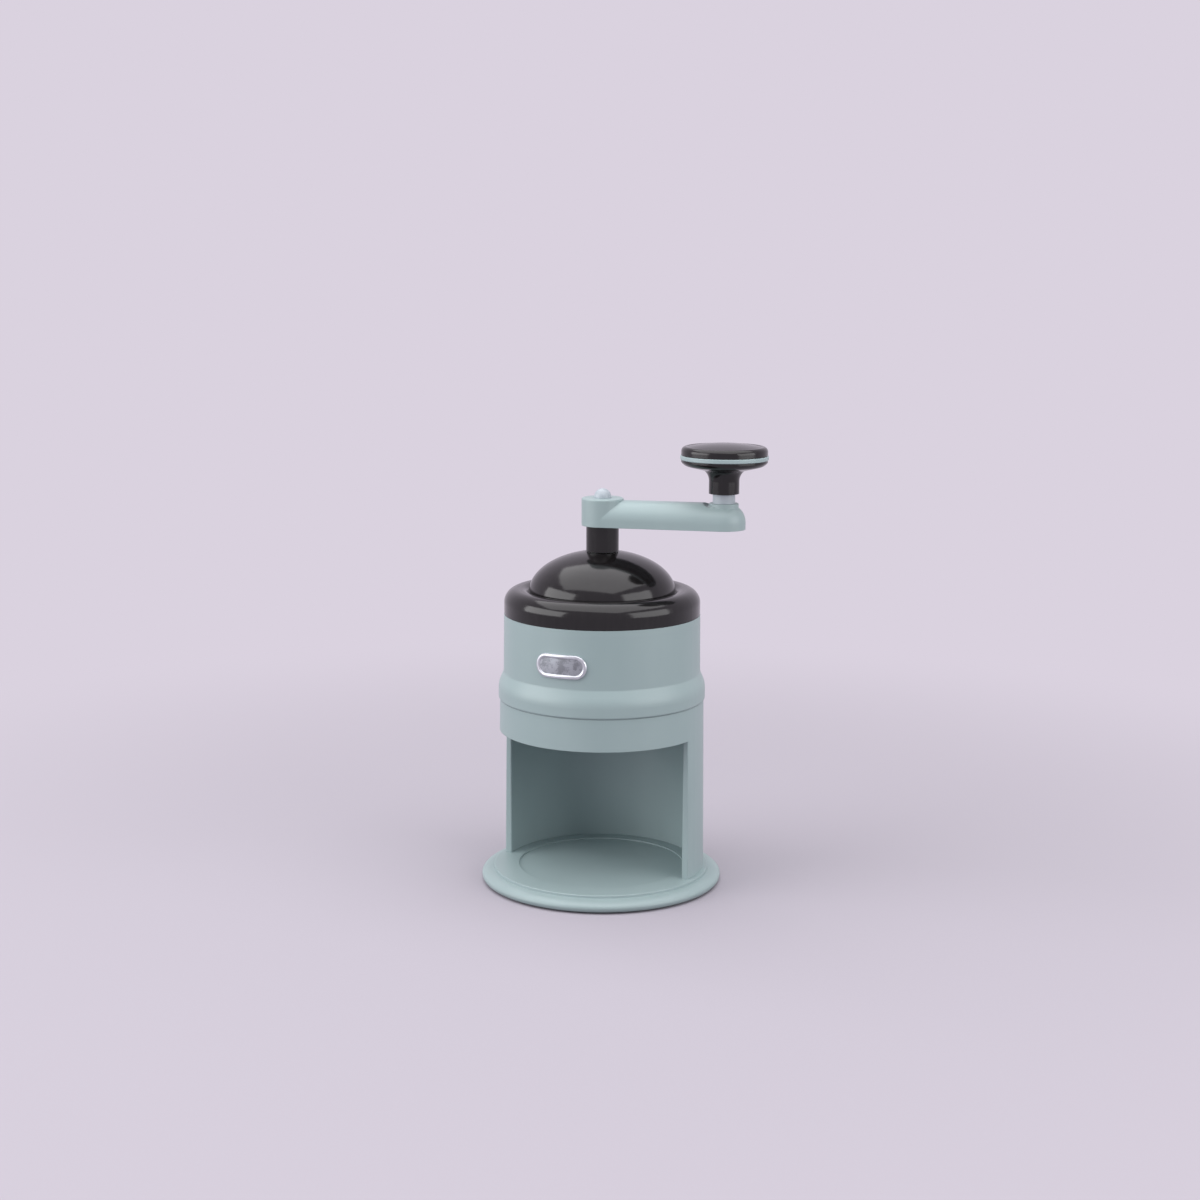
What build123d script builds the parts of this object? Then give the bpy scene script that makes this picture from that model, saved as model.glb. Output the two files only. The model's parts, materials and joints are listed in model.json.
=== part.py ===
from build123d import *
import math
import os

os.makedirs("parts", exist_ok=True)

# A compact hand-cranked ice shaver. A round base carries an open-fronted column with a bay for a
# bowl. Above the bay stands the ice chamber in its round housing. A domed lid holds the crank, whose
# square shaft turns a spiked presser plate over a fixed blade in the chamber's floor.
#
# Millimetres, +Z up. The origin is the centre of the plane that the rubber ring rests on. The open
# front of the bay faces -Y. Radii are measured from the shaver's vertical axis unless they are named
# for a piece that stands beside it.

# ---------------------------------------------------------------- fits and clearances
running_fit = 0.06  # radial, between a turning or sliding piece and its bore
screw_fit = 0.05  # radial, between a screw and its hole
clip_fit = 0.05  # above and below a clip in its groove
rubber_fit = 0.05  # beside the rubber ring in its groove
piece_gap = 0.3  # between pieces that pass or lie next to each other

# ---------------------------------------------------------------- column with the bowl bay
column_bore_radius = 58.0
column_foot_wall = 4.3
column_top_wall = 3.2
bay_height = 84.3  # bay floor to the lower edge of the closed band
bay_face_offset = 8.75  # plane of the pillars' cut faces, in front of the axis
band_height = 19.1  # closed band above the bay
pillar_edge_radius = 0.8
deck_depth = 13.2  # top of the inner deck below the seam
deck_thickness = 2.5
deck_rib_angles = (0.0, 22.5, 67.5, 90.0, 112.5, 157.5, 180.0)
deck_rib_reach = 7.0
deck_rib_drop = 5.0
deck_rib_thickness = 2.0
base_screw_angles = (15.0, 65.0, 115.0, 165.0)
base_screw_reach = 8.0  # thread in the column's wall

# ---------------------------------------------------------------- base
ring_stand_off = 1.0  # rubber ring below the base
base_height = 8.3
base_lip_rise = 2.6  # base bottom to its widest line
base_foot_inset = 2.0  # bottom edge inside the widest line
base_floor_thickness = 2.5
flange_width = 7.5  # rounded flange outside the tier
tier_margin = 2.7  # tier outside the column's foot
tier_step = 1.8
tier_edge_radius = 0.5
base_rim_width = 6.9  # rim that holds the rubber ring
foot_ring_width = 4.4
foot_ring_thickness = 2.5
foot_ring_inset = 1.5  # ring's outer edge inside the base's bottom edge
bowl_recess_margin = 8.0  # recess inside the column's bore
bowl_recess_depth = 0.8
base_boss_radius = 4.0
base_boss_height = 4.6  # floor's underside to the boss's end
base_rib_count = 6
base_rib_thickness = 1.8
base_rib_drop = 3.0
base_hub_radius = 9.0

# ---------------------------------------------------------------- upper housing
housing_height = 51.3  # seam to the shoulder under the lid
housing_wall = 2.5
housing_inset = 2.25  # lower wall inside the column's top
housing_taper = 0.35  # from the bulge up to the shoulder
bulge_overhang = 0.8  # outside the column's top
bulge_bottom_fillet = 1.4
bulge_band_height = 6.3  # seam to the top of the bulge's straight side
bulge_arc_rise = 6.0
bulge_arc_inset = 1.25
bulge_height = 16.4  # seam to the end of the bulge's slope
bulge_inner_rise = 1.0  # inner corner above the straight side
bulge_top_fillet = 2.0
housing_lip_height = 6.0  # lip inside the column
housing_lip_wall = 2.1
housing_web_thickness = 2.5
spigot_height = 5.5  # shoulder to the chamber's rim

# ---------------------------------------------------------------- badge plate, blank
badge_width = 31.7
badge_height = 14.1
badge_rim_width = 1.7
badge_field_thickness = 0.9
badge_rim_thickness = 1.6
badge_bow = 4.0  # more than the plate's curve stands back at its ends
badge_rise = 29.7  # seam to the badge's centre
badge_turn = 2.2  # degrees from the middle of the front towards +X

# ---------------------------------------------------------------- ice chamber
chamber_margin = 14.0  # chamber's bore inside the column's bore
chamber_wall = 2.2
chamber_floor_thickness = 2.2
chamber_rim_thickness = 2.0
chamber_foot_width = 5.8
chamber_foot_thickness = 2.5
chamber_boss_radius = 3.6
chamber_boss_height = 12.5
chamber_boss_gap = 0.4  # from the chamber's wall
chamber_screw_count = 4
chamber_screw_start = 45.0
chamber_screw_reach = 9.0

# ---------------------------------------------------------------- blade and its holder
blade_margin = 2.0  # far end inside the chamber's bore
blade_width = 16.0
blade_thickness = 1.0
blade_slope = 22.0  # degrees below level, from the edge to the tail
blade_bevel = 2.5
blade_inner_end = 4.5  # from the axis to the near end of the edge
blade_edge_offset = 0.5  # the edge lies in front of the axis
blade_rise = 0.3  # the edge above the chamber's floor, at its finest cut
blade_screw_inset = 7.5  # from the blade's ends
blade_screw_setback = 10.5  # from the edge
blade_travel = 1.0
blade_screw_reach = 3.2
slot_side_gap = 0.5
slot_throat = 3.1  # in front of the edge
slot_tail = 10.0  # behind the edge
holder_front_setback = 4.0
holder_ear_thickness = 3.0
holder_depth = 8.5  # chamber floor's underside to the holder's bottom
holder_tail = 24.0  # from the axis to the back of the ears
post_radius = 2.5
post_inset = 5.5  # from the blade's ends
post_setback = 20.0  # from the axis
bridge_thickness = 2.5
bridge_drop = 10.5  # chamber floor's underside to the bridge's top
bridge_front = 4.0
bridge_tail = 25.0
bridge_end_inset = 1.0  # inside the blade's ends
bridge_corner_radius = 3.0
bridge_screw_reach = 7.5

# ---------------------------------------------------------------- fineness adjuster
adjuster_setback = 10.0  # from the axis
adjuster_stem_radius = 2.5
adjuster_stem_reach = 6.2  # above the bridge's top
adjuster_bore_roof = 0.5
adjuster_knob_radius = 9.0
adjuster_knob_height = 7.2
adjuster_knob_web = 1.5  # under the stem's end
adjuster_grip_count = 8
adjuster_grip_radius = 1.6
adjuster_clip_radius = 4.2
adjuster_clip_thickness = 0.9
adjuster_clip_mouth = 2.4
adjuster_groove_depth = 0.5

# ---------------------------------------------------------------- lid
lid_inset = 0.1  # skirt inside the housing's top
lid_wall = 2.6
lid_skirt_height = 7.0  # straight part of the skirt
lid_shoulder_radius = 8.0
lid_ridge_width = 2.0  # flat between the shoulder and the slope to the crease
lid_crease_width = 4.7  # from the ridge in to the foot of the dome
lid_crease_depth = 2.2  # ridge to the foot of the dome
dome_height = 24.9
spot_face_margin = 0.5
spot_face_depth = 0.2
lid_boss_radius = 12.5
lid_screw_margin = 1.4  # heads inside the liner's spigot
lid_screw_boss_radius = 3.6
lid_screw_count = 3
lid_screw_start = 30.0  # degrees
lid_screw_reach = 7.0
liner_plate_thickness = 2.2
liner_plate_margin = 1.0  # plate inside the chamber's rim
liner_bore_margin = 3.7  # plate's bore inside the screws' circle
liner_spigot_depth = 4.0
liner_spigot_wall = 2.2
key_count = 3
key_start = 90.0  # degrees
key_width = 6.0
key_depth = 1.2
key_root = 1.0  # within the spigot's wall
bush_radius = 9.0
bush_length = 12.6
bush_flange_radius = 11.5
bush_flange_thickness = 1.5

# ---------------------------------------------------------------- spindle and crank
journal_radius = 7.0
collar_radius = 9.7
collar_height = 15.8
collar_edge_radius = 0.5
journal_tail = 1.8  # journal below the bush
spindle_clip_radius = 8.8
spindle_clip_thickness = 0.9
spindle_clip_mouth = 4.0
spindle_groove_depth = 0.8
shaft_width = 8.0  # square, across its flats
shaft_corner = 0.6
seat_radius = 14.0
seat_thickness = 2.0
seat_pin_radius = 1.5
seat_pin_length = 15.0
hub_radius = 12.5
hub_height = 16.3
hub_edge_radius = 0.9
hub_roof = 2.6
arm_height = 15.0
arm_edge_radius = 11.0
arm_end_radius = 12.9
arm_wall = 2.4
arm_rib_thickness = 2.0
arm_angle = 14.5  # degrees from +X at rest
crank_radius = 72.3
cap_radius = 5.1
cap_skirt_height = 0.5
stud_radius = 3.0
stud_reach = 3.2
boss_radius = 8.7
boss_rise = 0.2  # above the arm's ridge
boss_edge_radius = 0.5
boss_valley_radius = 2.0
boss_valley_offset = 1.6  # from the boss to the middle of the valley

# ---------------------------------------------------------------- knob and its post
post_collar_radius = 6.6
post_collar_height = 5.4
post_shank_radius = 4.0
post_shank_depth = 10.0
axle_radius = 5.0
axle_length = 14.6
post_screw_radius = 1.9
post_screw_head_radius = 3.6
post_screw_head_height = 1.8
post_screw_sink = 2.5  # the head's seat above the arm's lower edge
post_screw_reach = 5.0
knob_screw_radius = 2.0
knob_screw_head_radius = 4.0
knob_screw_head_height = 2.0
knob_screw_reach = 10.0
knob_washer_radius = 8.0
knob_washer_thickness = 1.0
knob_stem_radius = 8.9
knob_stem_height = 7.3
knob_neck_radius = 12.0
knob_neck_height = 13.5
knob_radius = 25.3
knob_flare_radius = 21.7
knob_flare_height = 15.9
knob_rim_height = 18.5
knob_lower_height = 19.8
knob_ring_thickness = 2.5
knob_ring_radius = 25.8
knob_ring_width = 9.0
knob_ring_edge_radius = 0.5
knob_crown_edge = 2.4
knob_crown_shoulder = 21.4
knob_crown_shoulder_height = 5.0
knob_crown_height = 7.0
knob_well_radius = 9.0
knob_cap_wall = 2.2
knob_spigot_wall = 2.0
knob_spigot_depth = 4.5
knob_pan_wall = 2.4
knob_pan_inset = 1.0  # the pan's inner corner inside the flare

# ---------------------------------------------------------------- presser
presser_margin = 6.0  # edge inside the chamber's bore
presser_thickness = 3.0
presser_edge_radius = 0.6
presser_hub_radius = 9.0
presser_hub_height = 18.0
presser_lift = 50.0
presser_rib_count = 8
presser_rib_height = 2.5
presser_rib_thickness = 1.6
presser_rib_inset = 3.0  # ends inside the plate's edge
spring_cup_wall = 1.5
spring_cup_height = 2.0
spike_radius = 1.3
spike_reach = 3.5  # below the plate
spike_seat = 1.8  # within the plate
spike_clearance = 1.5  # tips above the blade at its highest
spike_tip_radius = 0.2
spike_margin = 5.0  # outer ring inside the plate's edge
spike_pitch = 8.0  # between the rings
spike_counts = (8, 6, 4)  # from the outer ring inwards
spike_start_angles = (5.0, 20.0, 0.0)
spring_wire_radius = 0.7
spring_radius = 11.5  # mean
spring_turns = 12
stop_washer_radius = 8.0
stop_washer_thickness = 1.2
stop_screw_radius = 2.0
stop_screw_head_radius = 3.6
stop_screw_head_height = 1.6
stop_screw_reach = 11.0

# ---------------------------------------------------------------- small screws
screw_radius = 1.2
screw_head_radius = 2.6
screw_head_height = 1.6

# ================================================================ levels and places
base_bottom = ring_stand_off
lip_level = base_bottom + base_lip_rise
floor_level = base_bottom + base_height
step_level = floor_level - tier_step
floor_underside = floor_level - base_floor_thickness
band_level = floor_level + bay_height
seam_level = band_level + band_height
deck_level = seam_level - deck_depth
shoulder_level = seam_level + housing_height
chamber_rim_level = shoulder_level + spigot_height
spigot_top_level = chamber_rim_level - chamber_rim_thickness
chamber_floor_level = deck_level + chamber_floor_thickness
skirt_top_level = shoulder_level + lid_skirt_height
ridge_level = skirt_top_level + lid_shoulder_radius
crease_level = ridge_level - lid_crease_depth

column_foot_radius = column_bore_radius + column_foot_wall
column_top_radius = column_bore_radius + column_top_wall
housing_low_radius = column_top_radius - housing_inset
housing_top_radius = housing_low_radius - housing_taper
bulge_radius = column_top_radius + bulge_overhang
lid_skirt_radius = housing_top_radius - lid_inset
lid_ridge_radius = lid_skirt_radius - lid_shoulder_radius - lid_ridge_width
lid_crease_radius = lid_ridge_radius - lid_crease_width
bowl_recess_radius = column_bore_radius - bowl_recess_margin
tier_radius = column_foot_radius + tier_margin
base_radius = tier_radius + flange_width
base_foot_radius = base_radius - base_foot_inset
rim_inner_radius = base_foot_radius - base_rim_width
foot_ring_outer_radius = base_foot_radius - foot_ring_inset
foot_ring_inner_radius = foot_ring_outer_radius - foot_ring_width
base_screw_circle = column_bore_radius + column_foot_wall / 2
boss_seat_level = floor_underside - base_boss_height + screw_head_height + piece_gap

chamber_bore_radius = column_bore_radius - chamber_margin
chamber_radius = chamber_bore_radius + chamber_wall
deck_hole_radius = chamber_radius + piece_gap
chamber_foot_radius = chamber_radius + chamber_foot_width
chamber_screw_circle = chamber_radius + chamber_boss_radius + chamber_boss_gap
spigot_radius = lid_skirt_radius - lid_wall - piece_gap
spigot_bore_radius = spigot_radius - housing_wall
chamber_rim_radius = spigot_radius - piece_gap

blade_edge_level = chamber_floor_level + blade_rise
blade_outer_end = chamber_bore_radius - blade_margin
blade_length = blade_outer_end - blade_inner_end
blade_plane = Plane(
    origin=(-blade_inner_end, -blade_edge_offset, blade_edge_level),
    x_dir=(0, math.cos(math.radians(blade_slope)), -math.sin(math.radians(blade_slope))),
    z_dir=(-1, 0, 0),
)  # local x runs from the edge to the tail, local y down through the blade
blade_top_plane = Plane(origin=blade_plane.origin, x_dir=(-1, 0, 0), z_dir=-blade_plane.y_dir)
holder_plane = Plane(origin=(-blade_inner_end, 0, 0), x_dir=(0, -1, 0), z_dir=(-1, 0, 0))
blade_middle = blade_inner_end + blade_length / 2
blade_screw_spots = [(blade_screw_inset, -blade_screw_setback),
                     (blade_length - blade_screw_inset, -blade_screw_setback)]
post_spots = [(-(blade_inner_end + post_inset), post_setback),
              (-(blade_outer_end - post_inset), post_setback)]
holder_bottom = deck_level - holder_depth
bridge_level = deck_level - bridge_drop
bridge_bottom = bridge_level - bridge_thickness
adjuster_spot = (-blade_middle, adjuster_setback)
adjuster_top = bridge_level + adjuster_stem_reach

spot_face_radius = collar_radius + spot_face_margin
spot_face_level = (
    crease_level
    + dome_height * math.sqrt(1 - (spot_face_radius / lid_crease_radius) ** 2)
    - spot_face_depth
)
collar_level = spot_face_level + piece_gap
arm_level = collar_level + collar_height
hub_top_level = arm_level + hub_height
boss_level = arm_level + arm_height + boss_rise
bush_bottom_level = spot_face_level - bush_length
journal_end_level = bush_bottom_level - journal_tail
spindle_clip_level = bush_bottom_level - piece_gap - spindle_clip_thickness
seat_level = journal_end_level - seat_thickness
seat_pin_level = seat_level - seat_pin_radius - screw_fit
socket_top_level = hub_top_level - hub_roof

spindle_plane = Plane(
    origin=(0, 0, 0),
    x_dir=(math.cos(math.radians(arm_angle)), math.sin(math.radians(arm_angle)), 0),
    z_dir=(0, 0, 1),
)  # turned with the arm, so that the shaft's flats lie along it
arm_plane = spindle_plane.offset(arm_level)
seat_pin_plane = Plane(origin=(0, 0, seat_pin_level), x_dir=(0, 0, 1), z_dir=spindle_plane.x_dir)
post_axis_point = arm_plane.from_local_coords((crank_radius, 0, 0))
post_x = post_axis_point.X
post_y = post_axis_point.Y
post_collar_level = boss_level + post_collar_height
knob_level = post_collar_level + piece_gap
axle_top_level = post_collar_level + axle_length
knob_shelf_level = axle_top_level - piece_gap
knob_lower_top = knob_level + knob_lower_height
knob_ring_top = knob_lower_top + knob_ring_thickness
knob_top_level = knob_ring_top + knob_crown_height

spike_tip_level = blade_edge_level + blade_travel + spike_clearance
presser_level = spike_tip_level + spike_reach
presser_top = presser_level + presser_thickness
shaft_end_level = presser_level - piece_gap
stop_washer_level = shaft_end_level - stop_washer_thickness
liner_level = chamber_rim_level + piece_gap
liner_top = liner_level + liner_plate_thickness
liner_spigot_radius = chamber_bore_radius - piece_gap
lid_screw_circle = liner_spigot_radius - liner_spigot_wall - screw_head_radius - lid_screw_margin
liner_bore_radius = lid_screw_circle - liner_bore_margin
presser_radius = chamber_bore_radius - presser_margin
spring_cup_radius = spring_radius + spring_wire_radius + piece_gap


def pan_screw(shank_radius, shank_length, head_radius, head_height):
    """A screw driven upwards: its head hangs below the seat, which is the local plane."""
    Cylinder(head_radius, head_height, align=(Align.CENTER, Align.CENTER, Align.MAX))
    Cylinder(shank_radius, shank_length, align=(Align.CENTER, Align.CENTER, Align.MIN))


def rising_cylinder(radius, height, mode=Mode.ADD):
    """A cylinder that stands on the local plane."""
    Cylinder(radius, height, align=(Align.CENTER, Align.CENTER, Align.MIN), mode=mode)


def polar_spots(radius, angles, level):
    """Points on a circle about the shaver's axis, at angles in degrees."""
    return [
        (radius * math.cos(math.radians(a)), radius * math.sin(math.radians(a)), level)
        for a in angles
    ]


# ================================================================ base
# The space under the floor, less the bosses and ribs that stand in it.
with BuildPart() as base_space:
    with BuildSketch(Plane.XY.offset(base_bottom)):
        Circle(rim_inner_radius)
    extrude(amount=floor_underside - base_bottom)
    with Locations(*polar_spots(base_screw_circle, base_screw_angles, floor_underside)):
        Cylinder(base_boss_radius, base_boss_height, align=(Align.CENTER, Align.CENTER, Align.MAX),
                 mode=Mode.SUBTRACT)
    with Locations((0, 0, floor_underside)):
        Cylinder(base_hub_radius, base_rib_drop, align=(Align.CENTER, Align.CENTER, Align.MAX),
                 mode=Mode.SUBTRACT)
    with Locations((0, 0, floor_underside)):
        with PolarLocations(0, base_rib_count, start_angle=90 / base_rib_count):
            Box(rim_inner_radius, base_rib_thickness, base_rib_drop,
                align=(Align.MIN, Align.CENTER, Align.MAX), mode=Mode.SUBTRACT)

with BuildPart() as base:
    with BuildSketch(Plane.XZ):
        with BuildLine():
            Line((0, floor_level), (0, base_bottom))
            Line((0, base_bottom), (base_foot_radius, base_bottom))
            EllipticalCenterArc((base_foot_radius, lip_level), base_foot_inset, base_lip_rise,
                                start_angle=270, arc_size=90)
            EllipticalCenterArc((tier_radius, lip_level), flange_width, step_level - lip_level,
                                start_angle=0, arc_size=90)
            Line((tier_radius, step_level), (tier_radius, floor_level))
            Line((tier_radius, floor_level), (0, floor_level))
        make_face()
    revolve(axis=Axis.Z)
    add(base_space.part, mode=Mode.SUBTRACT)
    tier_edge = base.edges().filter_by(GeomType.CIRCLE).filter_by_position(
        Axis.Z, floor_level - 0.01, floor_level + 0.01)
    fillet(tier_edge, tier_edge_radius)
    # Shallow ringed recess that centres the bowl.
    with Locations((0, 0, floor_level - bowl_recess_depth)):
        rising_cylinder(bowl_recess_radius, base_height, mode=Mode.SUBTRACT)
    # Groove for the rubber ring.
    with BuildSketch(Plane.XY.offset(base_bottom)):
        Circle(foot_ring_outer_radius)
        Circle(foot_ring_inner_radius, mode=Mode.SUBTRACT)
    extrude(amount=foot_ring_thickness - ring_stand_off, mode=Mode.SUBTRACT)
    # Screw holes up into the column's wall, with their heads sunk in the bosses.
    with Locations(*polar_spots(base_screw_circle, base_screw_angles, base_bottom)):
        rising_cylinder(screw_radius + screw_fit, base_height, mode=Mode.SUBTRACT)
        rising_cylinder(screw_head_radius + piece_gap, boss_seat_level - base_bottom,
                        mode=Mode.SUBTRACT)
base.part.label = "base"
export_step(base.part, "parts/base.step")

with BuildPart() as foot_ring:
    with BuildSketch(Plane.XY):
        Circle(foot_ring_outer_radius - rubber_fit)
        Circle(foot_ring_inner_radius + rubber_fit, mode=Mode.SUBTRACT)
    extrude(amount=foot_ring_thickness)
foot_ring.part.label = "foot_ring"
export_step(foot_ring.part, "parts/foot_ring.step")

with BuildPart() as base_screws:
    with Locations(*polar_spots(base_screw_circle, base_screw_angles, boss_seat_level)):
        pan_screw(screw_radius, floor_level - boss_seat_level + base_screw_reach,
                  screw_head_radius, screw_head_height)
base_screws.part.label = "base_screws"
export_step(base_screws.part, "parts/base_screws.step")

# ================================================================ column
with BuildPart() as stand_column:
    with BuildSketch(Plane.XZ):
        with BuildLine():
            Polyline(
                (column_bore_radius, floor_level),
                (column_foot_radius, floor_level),
                (column_top_radius, seam_level),
                (column_bore_radius, seam_level),
                close=True,
            )
        make_face()
    revolve(axis=Axis.Z)
    # The bay is open in front of one upright plane, up to the band.
    with Locations((0, -bay_face_offset, floor_level)):
        Box(4 * column_foot_radius, 2 * column_foot_radius, bay_height,
            align=(Align.CENTER, Align.MAX, Align.MIN), mode=Mode.SUBTRACT)
    pillar_edges = stand_column.edges().filter_by_position(
        Axis.Y, -bay_face_offset - 0.01, -bay_face_offset + 0.01
    ).filter_by_position(Axis.Z, floor_level + 1, band_level - 1)
    fillet(pillar_edges, pillar_edge_radius)
    # Inner deck that carries the ice chamber, with ribs under its back.
    with BuildSketch(Plane.XY.offset(deck_level - deck_thickness)):
        Circle(column_bore_radius + column_top_wall / 2)
        Circle(deck_hole_radius, mode=Mode.SUBTRACT)
    extrude(amount=deck_thickness)
    with Locations((0, 0, deck_level - deck_thickness)):
        for angle in deck_rib_angles:
            with PolarLocations(column_bore_radius - deck_rib_reach, 1, start_angle=angle):
                Box(deck_rib_reach + column_top_wall / 2, deck_rib_thickness, deck_rib_drop,
                    align=(Align.MIN, Align.CENTER, Align.MAX))
    chamber_screw_angles = [
        chamber_screw_start + 360 / chamber_screw_count * i for i in range(chamber_screw_count)
    ]
    with Locations(*polar_spots(chamber_screw_circle, chamber_screw_angles,
                                deck_level - deck_thickness)):
        rising_cylinder(screw_radius + piece_gap, deck_thickness, mode=Mode.SUBTRACT)
    with Locations(*polar_spots(base_screw_circle, base_screw_angles, floor_level)):
        rising_cylinder(screw_radius + screw_fit, base_screw_reach + piece_gap, mode=Mode.SUBTRACT)
stand_column.part.label = "stand_column"
export_step(stand_column.part, "parts/stand_column.step")

# ================================================================ upper housing
bulge_slope_start = (bulge_radius - bulge_arc_inset, seam_level + bulge_band_height + bulge_arc_rise)
bulge_slope_end = (housing_low_radius, seam_level + bulge_height)
housing_lip_radius = column_bore_radius - piece_gap
with BuildPart() as upper_housing:
    with BuildSketch(Plane.XZ):
        with BuildLine():
            Polyline(
                (housing_lip_radius, seam_level),
                (bulge_radius, seam_level),
                (bulge_radius, seam_level + bulge_band_height),
            )
            TangentArc((bulge_radius, seam_level + bulge_band_height), bulge_slope_start,
                       tangent=(0, 1))
            Polyline(
                bulge_slope_start,
                bulge_slope_end,
                (housing_top_radius, shoulder_level),
                (spigot_radius, shoulder_level),
                (spigot_radius, spigot_top_level),
                (spigot_bore_radius, spigot_top_level),
                (spigot_bore_radius, shoulder_level - housing_web_thickness),
                (housing_top_radius - housing_wall, shoulder_level - housing_web_thickness),
                (housing_low_radius - housing_wall, seam_level + bulge_height),
                (bulge_radius - housing_wall, seam_level + bulge_band_height + bulge_inner_rise),
                (bulge_radius - housing_wall, seam_level + housing_wall),
                (housing_lip_radius - housing_lip_wall, seam_level + housing_wall),
                (housing_lip_radius - housing_lip_wall, seam_level - housing_lip_height),
                (housing_lip_radius, seam_level - housing_lip_height),
                (housing_lip_radius, seam_level),
            )
        make_face()
    revolve(axis=Axis.Z)
    seam_edge = upper_housing.edges().filter_by(GeomType.CIRCLE).filter_by_position(
        Axis.Z, seam_level - 0.01, seam_level + 0.01).sort_by(SortBy.RADIUS)[-1]
    fillet(seam_edge, bulge_bottom_fillet)
    slope_edge = upper_housing.edges().filter_by(GeomType.CIRCLE).filter_by_position(
        Axis.Z, seam_level + bulge_height - 0.01, seam_level + bulge_height + 0.01
    ).sort_by(SortBy.RADIUS)[-1]
    fillet(slope_edge, bulge_top_fillet)
upper_housing.part.label = "upper_housing"
export_step(upper_housing.part, "parts/upper_housing.step")

# ================================================================ badge plate
badge_level = seam_level + badge_rise
badge_back_radius = housing_low_radius + screw_fit
badge_direction = math.radians(badge_turn)
badge_plane = Plane(
    origin=(0, 0, badge_level),
    x_dir=(math.cos(badge_direction), math.sin(badge_direction), 0),
    z_dir=(math.sin(badge_direction), -math.cos(badge_direction), 0),
)
with BuildPart() as badge_plate:
    with BuildSketch(badge_plane.offset(badge_back_radius - badge_bow)):
        SlotOverall(badge_width, badge_height)
    extrude(amount=2 * badge_bow)
    with BuildSketch(Plane.XY.offset(badge_level - badge_height)):
        Circle(badge_back_radius + badge_rim_thickness)
        Circle(badge_back_radius, mode=Mode.SUBTRACT)
    extrude(amount=2 * badge_height, mode=Mode.INTERSECT)
# The sunk field inside the badge's rim.
with BuildPart() as badge_sink:
    with BuildSketch(badge_plane.offset(badge_back_radius - badge_bow)):
        SlotOverall(badge_width - 2 * badge_rim_width, badge_height - 2 * badge_rim_width)
    extrude(amount=2 * badge_bow)
    with BuildSketch(Plane.XY.offset(badge_level - badge_height)):
        Circle(badge_back_radius + 2 * badge_rim_thickness)
        Circle(badge_back_radius + badge_field_thickness, mode=Mode.SUBTRACT)
    extrude(amount=2 * badge_height, mode=Mode.INTERSECT)
with badge_plate:
    add(badge_sink.part, mode=Mode.SUBTRACT)
badge_plate.part.label = "badge_plate"
export_step(badge_plate.part, "parts/badge_plate.step")

# ================================================================ ice chamber
slot_front = blade_edge_offset + slot_throat
slot_back = blade_edge_offset - slot_tail
with BuildPart() as ice_chamber:
    with BuildSketch(Plane.XY.offset(deck_level)):
        Circle(chamber_foot_radius)
    extrude(amount=chamber_foot_thickness)
    with BuildSketch(Plane.XY.offset(deck_level)):
        Circle(chamber_radius)
    extrude(amount=chamber_rim_level - deck_level)
    with BuildSketch(Plane.XY.offset(spigot_top_level)):
        Circle(chamber_rim_radius)
    extrude(amount=chamber_rim_thickness)
    with Locations(*polar_spots(chamber_screw_circle, chamber_screw_angles, deck_level)):
        rising_cylinder(chamber_boss_radius, chamber_boss_height)
    with BuildSketch(Plane.XY.offset(chamber_floor_level)):
        Circle(chamber_bore_radius)
    extrude(amount=chamber_rim_level - chamber_floor_level, mode=Mode.SUBTRACT)
    # Notches for the lid's keys.
    with Locations((0, 0, liner_level - liner_spigot_depth - piece_gap)):
        with PolarLocations(0, key_count, start_angle=key_start):
            Box(chamber_bore_radius + key_depth + piece_gap, key_width + 2 * piece_gap,
                liner_spigot_depth + 2 * piece_gap, align=(Align.MIN, Align.CENTER, Align.MIN),
                mode=Mode.SUBTRACT)
    # Slot in the floor for the blade.
    with BuildSketch(Plane.XY.offset(deck_level)):
        with Locations((-blade_middle, -(slot_front + slot_back) / 2)):
            Rectangle(blade_length + 2 * slot_side_gap, slot_front - slot_back)
    extrude(amount=chamber_floor_thickness, mode=Mode.SUBTRACT)
    # Guide posts under the floor for the blade's holder.
    with BuildSketch(Plane.XY.offset(bridge_level)):
        with Locations(*post_spots):
            Circle(post_radius)
    extrude(amount=deck_level - bridge_level)
    with BuildSketch(Plane.XY.offset(bridge_level)):
        with Locations(*post_spots):
            Circle(screw_radius + screw_fit)
    extrude(amount=bridge_screw_reach + piece_gap, mode=Mode.SUBTRACT)
    with Locations(*polar_spots(chamber_screw_circle, chamber_screw_angles, deck_level)):
        rising_cylinder(screw_radius + screw_fit, chamber_screw_reach + piece_gap,
                        mode=Mode.SUBTRACT)
ice_chamber.part.label = "ice_chamber"
export_step(ice_chamber.part, "parts/ice_chamber.step")

with BuildPart() as chamber_screws:
    with Locations(*polar_spots(chamber_screw_circle, chamber_screw_angles,
                                deck_level - deck_thickness)):
        pan_screw(screw_radius, deck_thickness + chamber_screw_reach, screw_head_radius,
                  screw_head_height)
chamber_screws.part.label = "chamber_screws"
export_step(chamber_screws.part, "parts/chamber_screws.step")

# ================================================================ blade unit
with BuildPart() as blade:
    with BuildSketch(blade_plane):
        with BuildLine():
            Polyline(
                (0, 0),
                (blade_width, 0),
                (blade_width, blade_thickness),
                (blade_bevel, blade_thickness),
                close=True,
            )
        make_face()
    extrude(amount=blade_length)
    with Locations(blade_top_plane):
        with Locations(*blade_screw_spots):
            CounterSinkHole(screw_radius + screw_fit, screw_radius + blade_thickness)
blade.part.label = "blade"
export_step(blade.part, "parts/blade.step")

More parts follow.
